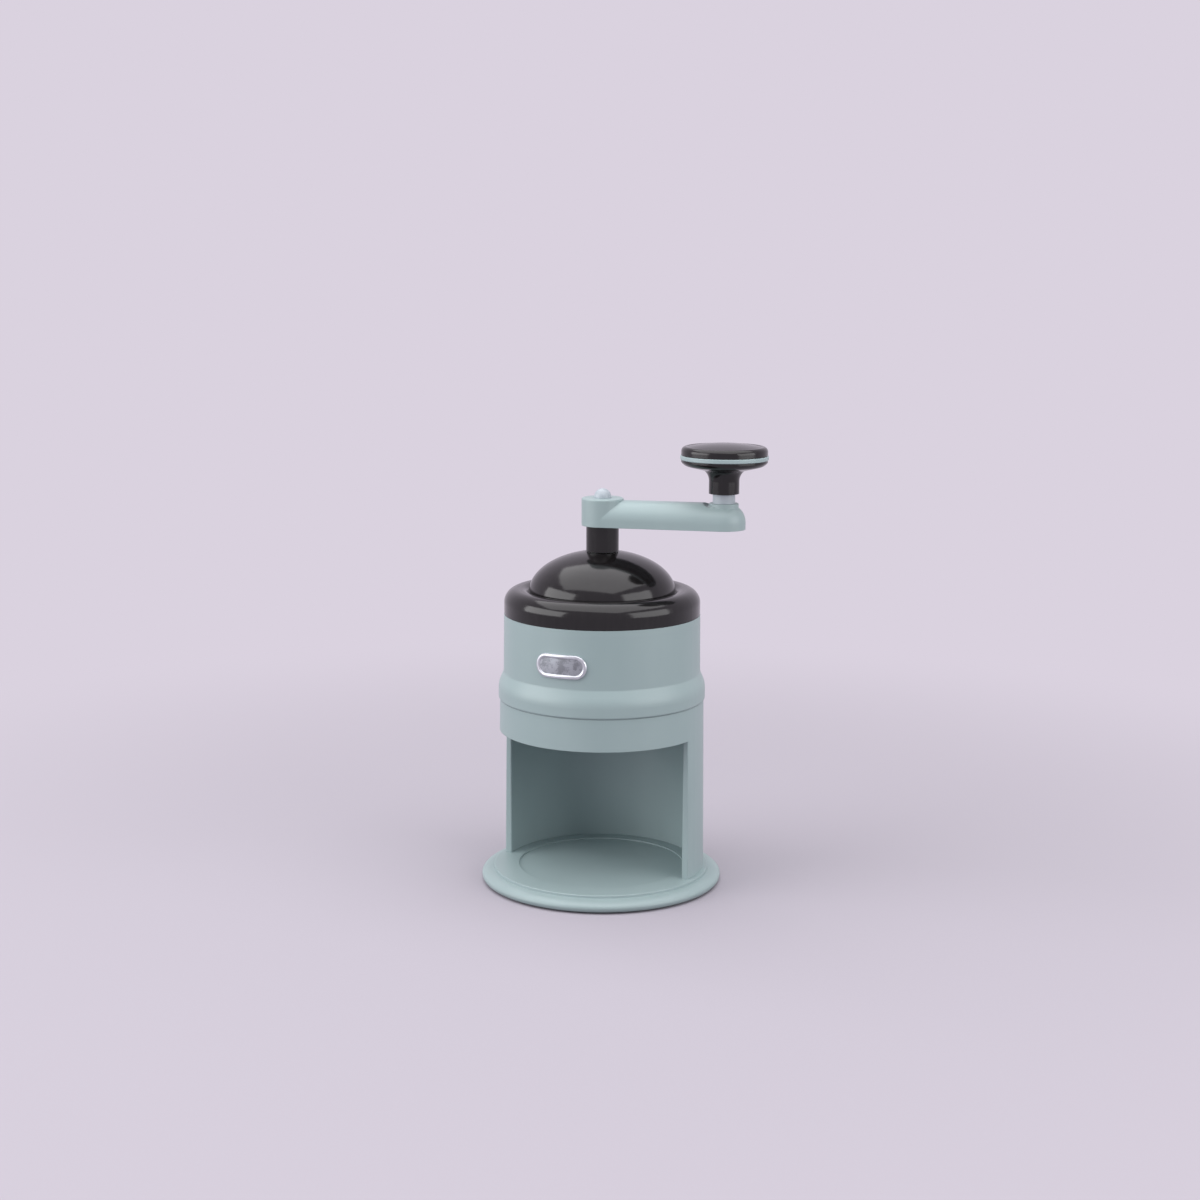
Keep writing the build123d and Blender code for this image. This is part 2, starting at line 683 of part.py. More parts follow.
holder_front = holder_plane.to_local_coords(
    blade_plane.from_local_coords((holder_front_setback, blade_thickness, 0)))
holder_back = holder_plane.to_local_coords(
    blade_plane.from_local_coords((blade_width, blade_thickness, 0)))
with BuildPart() as blade_holder:
    with BuildSketch(holder_plane):
        with BuildLine():
            Polyline(
                (holder_front.X, holder_front.Y),
                (holder_back.X, holder_back.Y),
                (holder_back.X, holder_bottom + holder_ear_thickness),
                (-holder_tail, holder_bottom + holder_ear_thickness),
                (-holder_tail, holder_bottom),
                (holder_front.X, holder_bottom),
                close=True,
            )
        make_face()
    extrude(amount=blade_length)
    with BuildSketch(Plane.XY.offset(holder_bottom)):
        with Locations(*post_spots):
            Circle(post_radius + running_fit)
    extrude(amount=holder_ear_thickness, mode=Mode.SUBTRACT)
    with Locations((adjuster_spot[0], adjuster_spot[1], holder_bottom)):
        rising_cylinder(adjuster_stem_radius + running_fit,
                        adjuster_top + adjuster_bore_roof - holder_bottom, mode=Mode.SUBTRACT)
    with Locations(blade_top_plane.offset(-blade_thickness)):
        with Locations(*blade_screw_spots):
            Cylinder(screw_radius + screw_fit, 2 * (blade_screw_reach + piece_gap),
                     mode=Mode.SUBTRACT)
blade_holder.part.label = "blade_holder"
export_step(blade_holder.part, "parts/blade_holder.step")

with BuildPart() as blade_screws:
    with Locations(blade_top_plane):
        with Locations(*blade_screw_spots):
            Cone(screw_radius, screw_radius + blade_thickness - screw_fit, blade_thickness,
                 align=(Align.CENTER, Align.CENTER, Align.MAX))
            Cylinder(screw_radius, blade_thickness + blade_screw_reach,
                     align=(Align.CENTER, Align.CENTER, Align.MAX))
blade_screws.part.label = "blade_screws"
export_step(blade_screws.part, "parts/blade_screws.step")

# ================================================================ bridge and adjuster
with BuildPart() as blade_bridge:
    with BuildSketch(Plane.XY.offset(bridge_bottom)):
        with Locations((-blade_middle, (bridge_front + bridge_tail) / 2)):
            RectangleRounded(blade_length - 2 * bridge_end_inset, bridge_tail - bridge_front,
                             bridge_corner_radius)
        with Locations(*post_spots):
            Circle(screw_radius + screw_fit, mode=Mode.SUBTRACT)
        with Locations(adjuster_spot):
            Circle(adjuster_stem_radius + running_fit, mode=Mode.SUBTRACT)
    extrude(amount=bridge_thickness)
blade_bridge.part.label = "blade_bridge"
export_step(blade_bridge.part, "parts/blade_bridge.step")

with BuildPart() as bridge_screws:
    with Locations(*[(x, y, bridge_bottom) for x, y in post_spots]):
        pan_screw(screw_radius, bridge_thickness + bridge_screw_reach, screw_head_radius,
                  screw_head_height)
bridge_screws.part.label = "bridge_screws"
export_step(bridge_screws.part, "parts/bridge_screws.step")

knob_seat_level = bridge_bottom - piece_gap
stem_foot_level = knob_seat_level - adjuster_knob_height + adjuster_knob_web
adjuster_clip_level = bridge_level + piece_gap
with BuildPart() as adjuster_stem:
    with Locations((adjuster_spot[0], adjuster_spot[1], stem_foot_level)):
        rising_cylinder(adjuster_stem_radius, adjuster_top - stem_foot_level)
    with BuildSketch(Plane.XY.offset(adjuster_clip_level)):
        with Locations(adjuster_spot):
            Circle(adjuster_clip_radius)
            Circle(adjuster_stem_radius - adjuster_groove_depth, mode=Mode.SUBTRACT)
    extrude(amount=adjuster_clip_thickness, mode=Mode.SUBTRACT)
adjuster_stem.part.label = "adjuster_stem"
export_step(adjuster_stem.part, "parts/adjuster_stem.step")

with BuildPart() as adjuster_clip:
    with BuildSketch(Plane.XY.offset(adjuster_clip_level + clip_fit)):
        with Locations(adjuster_spot):
            Circle(adjuster_clip_radius)
            Circle(adjuster_stem_radius - adjuster_groove_depth + screw_fit, mode=Mode.SUBTRACT)
            with Locations((0, -adjuster_clip_radius)):
                Rectangle(adjuster_clip_mouth, 2 * adjuster_clip_radius, mode=Mode.SUBTRACT)
    extrude(amount=adjuster_clip_thickness - 2 * clip_fit)
adjuster_clip.part.label = "adjuster_clip"
export_step(adjuster_clip.part, "parts/adjuster_clip.step")

with BuildPart() as adjuster_knob:
    with BuildSketch(Plane.XY.offset(knob_seat_level - adjuster_knob_height)):
        with Locations(adjuster_spot):
            Circle(adjuster_knob_radius)
            with PolarLocations(adjuster_knob_radius, adjuster_grip_count):
                Circle(adjuster_grip_radius, mode=Mode.SUBTRACT)
    extrude(amount=adjuster_knob_height)
    with Locations((adjuster_spot[0], adjuster_spot[1], knob_seat_level)):
        Cylinder(adjuster_stem_radius + screw_fit, knob_seat_level - stem_foot_level + screw_fit,
                 align=(Align.CENTER, Align.CENTER, Align.MAX), mode=Mode.SUBTRACT)
adjuster_knob.part.label = "adjuster_knob"
export_step(adjuster_knob.part, "parts/adjuster_knob.step")

# ================================================================ lid
lid_inner_dome_radius = lid_crease_radius - lid_wall
lid_inner_dome_height = dome_height - lid_wall
lid_inner_shoulder = lid_shoulder_radius - lid_wall
lid_inner_ridge = ridge_level - lid_wall
lid_screw_angles = [360 / lid_screw_count * i + lid_screw_start for i in range(lid_screw_count)]

# The space inside the lid, less the central boss and the bosses for the liner's screws.
with BuildPart() as lid_space:
    with BuildSketch(Plane.XZ):
        with BuildLine():
            Line((0, shoulder_level), (lid_skirt_radius - lid_wall, shoulder_level))
            Line((lid_skirt_radius - lid_wall, shoulder_level),
                 (lid_skirt_radius - lid_wall, skirt_top_level))
            JernArc((lid_skirt_radius - lid_wall, skirt_top_level), (0, 1), lid_inner_shoulder, 90)
            Line((lid_skirt_radius - lid_shoulder_radius, lid_inner_ridge),
                 (lid_ridge_radius, lid_inner_ridge))
            Line((lid_ridge_radius, lid_inner_ridge),
                 (lid_inner_dome_radius, crease_level - lid_wall))
            Line((lid_inner_dome_radius, crease_level - lid_wall),
                 (lid_inner_dome_radius, crease_level))
            EllipticalCenterArc((0, crease_level), lid_inner_dome_radius, lid_inner_dome_height,
                                start_angle=0, arc_size=90)
            Line((0, crease_level + lid_inner_dome_height), (0, shoulder_level))
        make_face()
    revolve(axis=Axis.Z)
    with Locations((0, 0, bush_bottom_level + bush_flange_thickness)):
        rising_cylinder(lid_boss_radius, dome_height, mode=Mode.SUBTRACT)
    with Locations(*polar_spots(lid_screw_circle, lid_screw_angles, liner_top)):
        rising_cylinder(lid_screw_boss_radius, dome_height, mode=Mode.SUBTRACT)

with BuildPart() as lid_cover:
    with BuildSketch(Plane.XZ):
        with BuildLine():
            Line((0, shoulder_level), (lid_skirt_radius, shoulder_level))
            Line((lid_skirt_radius, shoulder_level), (lid_skirt_radius, skirt_top_level))
            JernArc((lid_skirt_radius, skirt_top_level), (0, 1), lid_shoulder_radius, 90)
            Line((lid_skirt_radius - lid_shoulder_radius, ridge_level),
                 (lid_ridge_radius, ridge_level))
            TangentArc((lid_ridge_radius, ridge_level), (lid_crease_radius, crease_level),
                       tangent=(-1, 0))
            EllipticalCenterArc((0, crease_level), lid_crease_radius, dome_height,
                                start_angle=0, arc_size=90)
            Line((0, crease_level + dome_height), (0, shoulder_level))
        make_face()
    revolve(axis=Axis.Z)
    add(lid_space.part, mode=Mode.SUBTRACT)
    with Locations((0, 0, spot_face_level)):
        rising_cylinder(spot_face_radius, dome_height, mode=Mode.SUBTRACT)
    with Locations((0, 0, bush_bottom_level)):
        rising_cylinder(bush_radius, bush_length, mode=Mode.SUBTRACT)
    with Locations(*polar_spots(lid_screw_circle, lid_screw_angles, liner_top)):
        rising_cylinder(screw_radius + screw_fit, lid_screw_reach + piece_gap, mode=Mode.SUBTRACT)
lid_cover.part.label = "lid_cover"
export_step(lid_cover.part, "parts/lid_cover.step")

with BuildPart() as spindle_bush:
    with Locations((0, 0, bush_bottom_level)):
        rising_cylinder(bush_radius, bush_length)
        rising_cylinder(bush_flange_radius, bush_flange_thickness)
        rising_cylinder(journal_radius + running_fit, bush_length, mode=Mode.SUBTRACT)
spindle_bush.part.label = "spindle_bush"
export_step(spindle_bush.part, "parts/spindle_bush.step")

with BuildPart() as lid_liner:
    with BuildSketch(Plane.XY.offset(liner_level)):
        Circle(chamber_rim_radius - liner_plate_margin)
        Circle(liner_bore_radius, mode=Mode.SUBTRACT)
    extrude(amount=liner_plate_thickness)
    with BuildSketch(Plane.XY.offset(liner_level - liner_spigot_depth)):
        Circle(liner_spigot_radius)
        Circle(liner_spigot_radius - liner_spigot_wall, mode=Mode.SUBTRACT)
    extrude(amount=liner_spigot_depth)
    with Locations((0, 0, liner_level - liner_spigot_depth)):
        with PolarLocations(liner_spigot_radius - key_root, key_count, start_angle=key_start):
            Box(key_depth + key_root, key_width, liner_spigot_depth,
                align=(Align.MIN, Align.CENTER, Align.MIN))
    with Locations(*polar_spots(lid_screw_circle, lid_screw_angles, liner_level)):
        rising_cylinder(screw_radius + screw_fit, liner_plate_thickness, mode=Mode.SUBTRACT)
lid_liner.part.label = "lid_liner"
export_step(lid_liner.part, "parts/lid_liner.step")

with BuildPart() as lid_screws:
    with Locations(*polar_spots(lid_screw_circle, lid_screw_angles, liner_level)):
        pan_screw(screw_radius, liner_plate_thickness + lid_screw_reach, screw_head_radius,
                  screw_head_height)
lid_screws.part.label = "lid_screws"
export_step(lid_screws.part, "parts/lid_screws.step")

# ================================================================ spindle
with BuildPart() as spindle_collar:
    with Locations((0, 0, journal_end_level)):
        rising_cylinder(journal_radius, collar_level - journal_end_level)
    with Locations((0, 0, collar_level)):
        rising_cylinder(collar_radius, collar_height)
    fillet(spindle_collar.edges().filter_by(GeomType.CIRCLE).filter_by_position(
        Axis.Z, collar_level - 0.01, arm_level + 0.01).sort_by(SortBy.RADIUS)[-2:],
        collar_edge_radius)
    with BuildSketch(spindle_plane.offset(journal_end_level)):
        Rectangle(shaft_width + 2 * screw_fit, shaft_width + 2 * screw_fit)
    extrude(amount=arm_level - journal_end_level, mode=Mode.SUBTRACT)
    with BuildSketch(Plane.XY.offset(spindle_clip_level)):
        Circle(spindle_clip_radius)
        Circle(journal_radius - spindle_groove_depth, mode=Mode.SUBTRACT)
    extrude(amount=spindle_clip_thickness, mode=Mode.SUBTRACT)
spindle_collar.part.label = "spindle_collar"
export_step(spindle_collar.part, "parts/spindle_collar.step")

with BuildPart() as spindle_clip:
    with BuildSketch(Plane.XY.offset(spindle_clip_level + clip_fit)):
        Circle(spindle_clip_radius)
        Circle(journal_radius - spindle_groove_depth + screw_fit, mode=Mode.SUBTRACT)
        with Locations((0, -spindle_clip_radius)):
            Rectangle(spindle_clip_mouth, spindle_clip_radius, mode=Mode.SUBTRACT)
    extrude(amount=spindle_clip_thickness - 2 * clip_fit)
spindle_clip.part.label = "spindle_clip"
export_step(spindle_clip.part, "parts/spindle_clip.step")

with BuildPart() as drive_shaft:
    with BuildSketch(spindle_plane.offset(shaft_end_level)):
        RectangleRounded(shaft_width, shaft_width, shaft_corner)
    extrude(amount=socket_top_level - shaft_end_level)
    with Locations((0, 0, socket_top_level)):
        rising_cylinder(stud_radius, hub_top_level + stud_reach - socket_top_level)
    with Locations((0, 0, shaft_end_level)):
        rising_cylinder(stop_screw_radius + screw_fit, stop_screw_reach + piece_gap,
                        mode=Mode.SUBTRACT)
    with Locations(seat_pin_plane):
        Cylinder(seat_pin_radius + screw_fit, 2 * shaft_width, mode=Mode.SUBTRACT)
drive_shaft.part.label = "drive_shaft"
export_step(drive_shaft.part, "parts/drive_shaft.step")

with BuildPart() as seat_pin:
    with Locations(seat_pin_plane):
        Cylinder(seat_pin_radius, seat_pin_length)
seat_pin.part.label = "seat_pin"
export_step(seat_pin.part, "parts/seat_pin.step")

with BuildPart() as spring_seat:
    with BuildSketch(spindle_plane.offset(seat_level)):
        Circle(seat_radius)
        Rectangle(shaft_width + 2 * screw_fit, shaft_width + 2 * screw_fit, mode=Mode.SUBTRACT)
    extrude(amount=seat_thickness)
spring_seat.part.label = "spring_seat"
export_step(spring_seat.part, "parts/spring_seat.step")

with BuildPart() as shaft_stop_washer:
    with BuildSketch(Plane.XY.offset(stop_washer_level)):
        Circle(stop_washer_radius)
        Circle(stop_screw_radius + screw_fit, mode=Mode.SUBTRACT)
    extrude(amount=stop_washer_thickness)
shaft_stop_washer.part.label = "shaft_stop_washer"
export_step(shaft_stop_washer.part, "parts/shaft_stop_washer.step")

with BuildPart() as shaft_stop_screw:
    with Locations((0, 0, stop_washer_level)):
        pan_screw(stop_screw_radius, stop_washer_thickness + stop_screw_reach,
                  stop_screw_head_radius, stop_screw_head_height)
shaft_stop_screw.part.label = "shaft_stop_screw"
export_step(shaft_stop_screw.part, "parts/shaft_stop_screw.step")

# ================================================================ crank arm
# The space under the arm, less the hub, the knob's boss and the middle rib.
with BuildPart() as arm_space:
    with BuildSketch(arm_plane):
        Circle(hub_radius - arm_wall)
        with Locations((crank_radius, 0)):
            Circle(arm_end_radius - arm_wall)
        make_hull()
    extrude(amount=arm_height - arm_wall)
    fillet(arm_space.faces().sort_by(Axis.Z)[-1].edges(), arm_edge_radius - arm_wall)
    with BuildSketch(arm_plane):
        Circle(hub_radius)
        with Locations((crank_radius, 0)):
            Circle(boss_radius)
        with Locations((crank_radius / 2, 0)):
            Rectangle(crank_radius, arm_rib_thickness)
    extrude(amount=arm_height, mode=Mode.SUBTRACT)

with BuildPart() as crank_arm:
    with BuildSketch(arm_plane):
        Circle(hub_radius)
        with Locations((crank_radius, 0)):
            Circle(arm_end_radius)
        make_hull()
    extrude(amount=arm_height)
    fillet(crank_arm.faces().sort_by(Axis.Z)[-1].edges(), arm_edge_radius)
    # Shallow valley between the arm's ridge and the knob's boss.
    with BuildSketch(Plane(origin=arm_plane.origin, x_dir=arm_plane.x_dir, z_dir=-arm_plane.y_dir)):
        with Locations((crank_radius - boss_radius - boss_valley_offset, arm_height)):
            Circle(boss_valley_radius)
    revolve(axis=Axis((post_x, post_y, 0), (0, 0, 1)), mode=Mode.SUBTRACT)
    with Locations((0, 0, arm_level)):
        rising_cylinder(hub_radius, hub_height)
    fillet(crank_arm.faces().sort_by(Axis.Z)[-1].edges(), hub_edge_radius)
    with Locations((post_x, post_y, arm_level)):
        rising_cylinder(boss_radius, boss_level - arm_level)
    boss_edge = crank_arm.edges().filter_by(GeomType.CIRCLE).filter_by_position(
        Axis.Z, boss_level - 0.01, boss_level + 0.01)
    fillet(boss_edge, boss_edge_radius)
    add(arm_space.part, mode=Mode.SUBTRACT)
    with BuildSketch(arm_plane):
        Rectangle(shaft_width + 2 * screw_fit, shaft_width + 2 * screw_fit)
    extrude(amount=socket_top_level - arm_level, mode=Mode.SUBTRACT)
    with Locations((0, 0, socket_top_level)):
        rising_cylinder(stud_radius + screw_fit, hub_height, mode=Mode.SUBTRACT)
    with Locations((post_x, post_y, boss_level)):
        Cylinder(post_shank_radius + screw_fit, post_shank_depth,
                 align=(Align.CENTER, Align.CENTER, Align.MAX), mode=Mode.SUBTRACT)
    with Locations((post_x, post_y, arm_level)):
        rising_cylinder(post_screw_radius + screw_fit, arm_height, mode=Mode.SUBTRACT)
        rising_cylinder(post_screw_head_radius + piece_gap, post_screw_sink, mode=Mode.SUBTRACT)
crank_arm.part.label = "crank_arm"
export_step(crank_arm.part, "parts/crank_arm.step")

with BuildPart() as cap_nut:
    with BuildSketch(Plane.XZ):
        with BuildLine():
            Line((0, hub_top_level), (cap_radius, hub_top_level))
            Line((cap_radius, hub_top_level), (cap_radius, hub_top_level + cap_skirt_height))
            CenterArc((0, hub_top_level + cap_skirt_height), cap_radius, start_angle=0, arc_size=90)
            Line((0, hub_top_level + cap_skirt_height + cap_radius), (0, hub_top_level))
        make_face()
    revolve(axis=Axis.Z)
    with Locations((0, 0, hub_top_level)):
        rising_cylinder(stud_radius + screw_fit, stud_reach + piece_gap, mode=Mode.SUBTRACT)
cap_nut.part.label = "cap_nut"
export_step(cap_nut.part, "parts/cap_nut.step")

# ================================================================ knob post
post_pilot_depth = knob_screw_reach + piece_gap
with BuildPart() as knob_post:
    with Locations((post_x, post_y, boss_level)):
        Cylinder(post_shank_radius, post_shank_depth, align=(Align.CENTER, Align.CENTER, Align.MAX))
        rising_cylinder(post_collar_radius, post_collar_height)
        rising_cylinder(axle_radius, post_collar_height + axle_length)
    with Locations((post_x, post_y, axle_top_level)):
        Cylinder(knob_screw_radius + screw_fit, post_pilot_depth,
                 align=(Align.CENTER, Align.CENTER, Align.MAX), mode=Mode.SUBTRACT)
    with Locations((post_x, post_y, boss_level - post_shank_depth)):
        rising_cylinder(post_screw_radius + screw_fit, post_screw_reach + piece_gap,
                        mode=Mode.SUBTRACT)
knob_post.part.label = "knob_post"
export_step(knob_post.part, "parts/knob_post.step")

post_screw_length = boss_level - post_shank_depth - arm_level - post_screw_sink + post_screw_reach
with BuildPart() as post_screw:
    with Locations((post_x, post_y, arm_level + post_screw_sink)):
        pan_screw(post_screw_radius, post_screw_length, post_screw_head_radius,
                  post_screw_head_height)
post_screw.part.label = "post_screw"
export_step(post_screw.part, "parts/post_screw.step")

with BuildPart() as knob_washer:
    with BuildSketch(Plane.XY.offset(axle_top_level)):
        with Locations((post_x, post_y)):
            Circle(knob_washer_radius)
            Circle(knob_screw_radius + screw_fit, mode=Mode.SUBTRACT)
    extrude(amount=knob_washer_thickness)
knob_washer.part.label = "knob_washer"
export_step(knob_washer.part, "parts/knob_washer.step")

with BuildPart() as knob_screw:
    with Locations((post_x, post_y, axle_top_level + knob_washer_thickness)):
        rising_cylinder(knob_screw_head_radius, knob_screw_head_height)
        Cylinder(knob_screw_radius, knob_washer_thickness + knob_screw_reach,
                 align=(Align.CENTER, Align.CENTER, Align.MAX))
knob_screw.part.label = "knob_screw"
export_step(knob_screw.part, "parts/knob_screw.step")

# ================================================================ knob
knob_axis = Axis((post_x, post_y, 0), (0, 0, 1))
knob_plane = Plane(origin=(post_x, post_y, knob_level), x_dir=(1, 0, 0), z_dir=(0, -1, 0))
shelf_height = knob_shelf_level - knob_level
with BuildPart() as knob_lower:
    with BuildSketch(knob_plane):
        with BuildLine():
            Line((axle_radius + running_fit, 0), (knob_stem_radius, 0))
            Line((knob_stem_radius, 0), (knob_stem_radius, knob_stem_height))
            TangentArc((knob_stem_radius, knob_stem_height), (knob_neck_radius, knob_neck_height),
                       tangent=(0, 1))
            Line((knob_neck_radius, knob_neck_height), (knob_flare_radius, knob_flare_height))
            TangentArc((knob_flare_radius, knob_flare_height), (knob_radius, knob_rim_height),
                       tangent=(knob_flare_radius - knob_neck_radius,
                                knob_flare_height - knob_neck_height))
            Line((knob_radius, knob_rim_height), (knob_radius, knob_lower_height))
            Line((knob_radius, knob_lower_height),
                 (knob_radius - knob_pan_wall, knob_lower_height))
            Polyline(
                (knob_radius - knob_pan_wall, knob_lower_height),
                (knob_flare_radius - knob_pan_inset, knob_flare_height + knob_pan_wall),
                (knob_well_radius + knob_pan_wall, shelf_height + knob_pan_wall),
                (knob_well_radius, shelf_height + knob_pan_wall),
                (knob_well_radius, shelf_height),
                (axle_radius + running_fit, shelf_height),
                (axle_radius + running_fit, 0),
            )
        make_face()
    revolve(axis=knob_axis)
knob_lower.part.label = "knob_lower"
export_step(knob_lower.part, "parts/knob_lower.step")

ring_bore_radius = knob_ring_radius - knob_ring_width
with BuildPart() as knob_ring:
    with BuildSketch(Plane.XY.offset(knob_lower_top)):
        with Locations((post_x, post_y)):
            Circle(knob_ring_radius)
            Circle(ring_bore_radius, mode=Mode.SUBTRACT)
    extrude(amount=knob_ring_thickness)
    fillet(knob_ring.edges().filter_by(GeomType.CIRCLE).sort_by(SortBy.RADIUS)[-2:],
           knob_ring_edge_radius)
knob_ring.part.label = "knob_ring"
export_step(knob_ring.part, "parts/knob_ring.step")

ring_height = knob_lower_height + knob_ring_thickness
crown_shoulder = (knob_crown_shoulder, ring_height + knob_crown_shoulder_height)
crown_top = (0, ring_height + knob_crown_height)
spigot_outer = ring_bore_radius - piece_gap
with BuildPart() as knob_upper:
    with BuildSketch(knob_plane):
        with BuildLine():
            Line((knob_radius, ring_height), (knob_radius, ring_height + knob_crown_edge))
            TangentArc((knob_radius, ring_height + knob_crown_edge), crown_shoulder, tangent=(0, 1))
            TangentArc(crown_top, crown_shoulder, tangent=(1, 0))
            Polyline(
                crown_top,
                (0, ring_height + knob_crown_height - knob_cap_wall),
                (spigot_outer - knob_spigot_wall, ring_height + knob_cap_wall),
                (spigot_outer - knob_spigot_wall, ring_height - knob_spigot_depth),
                (spigot_outer, ring_height - knob_spigot_depth),
                (spigot_outer, ring_height),
                (knob_radius, ring_height),
            )
        make_face()
    revolve(axis=knob_axis)
knob_upper.part.label = "knob_upper"
export_step(knob_upper.part, "parts/knob_upper.step")

# ================================================================ presser
spike_rings = [
    (presser_radius - spike_margin - spike_pitch * i, count, start)
    for i, (count, start) in enumerate(zip(spike_counts, spike_start_angles))
]
with BuildPart() as presser_plate:
    with BuildSketch(Plane.XY.offset(presser_level)):
        Circle(presser_radius)
    extrude(amount=presser_thickness)
    fillet(presser_plate.edges(), presser_edge_radius)
    with Locations((0, 0, presser_top)):
        with PolarLocations(spring_cup_radius, presser_rib_count,
                            start_angle=90 / presser_rib_count):
            Box(presser_radius - presser_rib_inset - spring_cup_radius, presser_rib_thickness,
                presser_rib_height, align=(Align.MIN, Align.CENTER, Align.MIN))
        rising_cylinder(spring_cup_radius + spring_cup_wall, spring_cup_height)
        rising_cylinder(spring_cup_radius, presser_rib_height, mode=Mode.SUBTRACT)
    with Locations((0, 0, presser_level)):
        rising_cylinder(presser_hub_radius, presser_hub_height)
    with BuildSketch(spindle_plane.offset(presser_level)):
        Rectangle(shaft_width + 2 * running_fit, shaft_width + 2 * running_fit)
    extrude(amount=presser_hub_height, mode=Mode.SUBTRACT)
    for circle, count, start in spike_rings:
        with Locations((0, 0, presser_level)):
            with PolarLocations(circle, count, start_angle=start):
                rising_cylinder(spike_radius + screw_fit, spike_seat + screw_fit,
                                mode=Mode.SUBTRACT)
presser_plate.part.label = "presser_plate"
export_step(presser_plate.part, "parts/presser_plate.step")

with BuildPart() as presser_spikes:
    for circle, count, start in spike_rings:
        with Locations((0, 0, presser_level)):
            with PolarLocations(circle, count, start_angle=start):
                rising_cylinder(spike_radius, spike_seat)
                Cone(spike_tip_radius, spike_radius, spike_reach,
                     align=(Align.CENTER, Align.CENTER, Align.MAX))
presser_spikes.part.label = "presser_spikes"
export_step(presser_spikes.part, "parts/presser_spikes.step")

# The spring winds up from the plate to its seat under the journal.
spring_bottom = presser_top + spring_wire_radius + screw_fit
spring_top = seat_level - spring_wire_radius - screw_fit
quarter_turns = 4 * spring_turns
spring_points = [
    (
        spring_radius * math.cos(math.pi / 2 * i),
        spring_radius * math.sin(math.pi / 2 * i),
        spring_bottom + (spring_top - spring_bottom) * i / quarter_turns,
    )
    for i in range(quarter_turns + 1)
]
spring_pitch = (spring_top - spring_bottom) / spring_turns
spring_start = (0, 2 * math.pi * spring_radius, spring_pitch)
with BuildPart() as presser_spring:
    with BuildLine() as spring_path:
        heading = Vector(spring_start)
        for lower, upper in zip(spring_points, spring_points[1:]):
            quarter = TangentArc(lower, upper, tangent=heading)
            heading = quarter % 1
    with BuildSketch(Plane(origin=spring_points[0], x_dir=(1, 0, 0), z_dir=spring_start)):
        Circle(spring_wire_radius)
    sweep(path=spring_path.line)
print(f"spring: least gap between turns {spring_pitch - 2 * spring_wire_radius:.2f} mm")
presser_spring.part.label = "presser_spring"
export_step(presser_spring.part, "parts/presser_spring.step")
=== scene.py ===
"""Studio dressing of a hand-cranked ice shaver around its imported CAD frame.

The shells, the crank and the inner works keep their CAD meshes and get their finishes. The badge,
the screws and the presser's spring are modelled in metres at their CAD places, by classes that hold
their sizes. The studio lays the paper, hangs the soft boxes and sets the camera.
"""

from __future__ import annotations

import json
import logging
import math
from dataclasses import dataclass, field
from enum import Enum
from typing import Callable, Sequence, Union

import bpy
from mathutils import Matrix, Vector

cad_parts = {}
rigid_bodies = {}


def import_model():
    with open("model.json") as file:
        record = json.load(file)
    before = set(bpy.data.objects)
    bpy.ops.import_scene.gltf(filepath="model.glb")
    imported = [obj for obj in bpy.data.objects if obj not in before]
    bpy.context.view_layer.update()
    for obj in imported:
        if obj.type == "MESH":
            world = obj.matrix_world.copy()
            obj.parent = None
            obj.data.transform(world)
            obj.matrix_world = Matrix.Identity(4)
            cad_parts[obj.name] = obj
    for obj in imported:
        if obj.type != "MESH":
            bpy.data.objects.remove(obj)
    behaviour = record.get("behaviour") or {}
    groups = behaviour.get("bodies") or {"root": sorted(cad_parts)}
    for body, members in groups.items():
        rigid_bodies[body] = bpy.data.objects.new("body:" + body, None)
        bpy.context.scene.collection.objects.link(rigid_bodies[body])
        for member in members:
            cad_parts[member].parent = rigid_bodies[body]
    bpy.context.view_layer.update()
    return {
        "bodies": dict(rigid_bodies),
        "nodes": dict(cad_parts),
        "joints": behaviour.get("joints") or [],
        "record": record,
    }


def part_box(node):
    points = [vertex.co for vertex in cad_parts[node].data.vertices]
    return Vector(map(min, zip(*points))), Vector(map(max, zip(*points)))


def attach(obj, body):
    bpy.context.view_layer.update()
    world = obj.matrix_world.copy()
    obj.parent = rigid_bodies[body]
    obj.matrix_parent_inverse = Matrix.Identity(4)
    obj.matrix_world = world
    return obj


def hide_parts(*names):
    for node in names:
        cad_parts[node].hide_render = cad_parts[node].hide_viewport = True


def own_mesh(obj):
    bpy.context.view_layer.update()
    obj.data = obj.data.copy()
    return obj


log = logging.getLogger("ice_shaver")
MM = 0.001
FACING = 0.9  # a face looks along an axis where its normal's share along it is larger
Colour = tuple[float, float, float]
Triple = tuple[float, float, float]  # a place, or a scale along each axis
Number = Union[float, "Signal"]


def linear(red: float, green: float, blue: float) -> Colour:
    """Turns an sRGB colour into linear light.

    Args:
        red: Its red, 0 to 255.
        green: Its green, 0 to 255.
        blue: Its blue, 0 to 255.

    Returns:
        The colour as shaders take it, 0 to 1.
    """
    def channel(value: float) -> float:
        """One channel of the conversion."""
        share = value / 255
        return share / 12.92 if share <= 0.04045 else ((share + 0.055) / 1.055) ** 2.4

    return channel(red), channel(green), channel(blue)


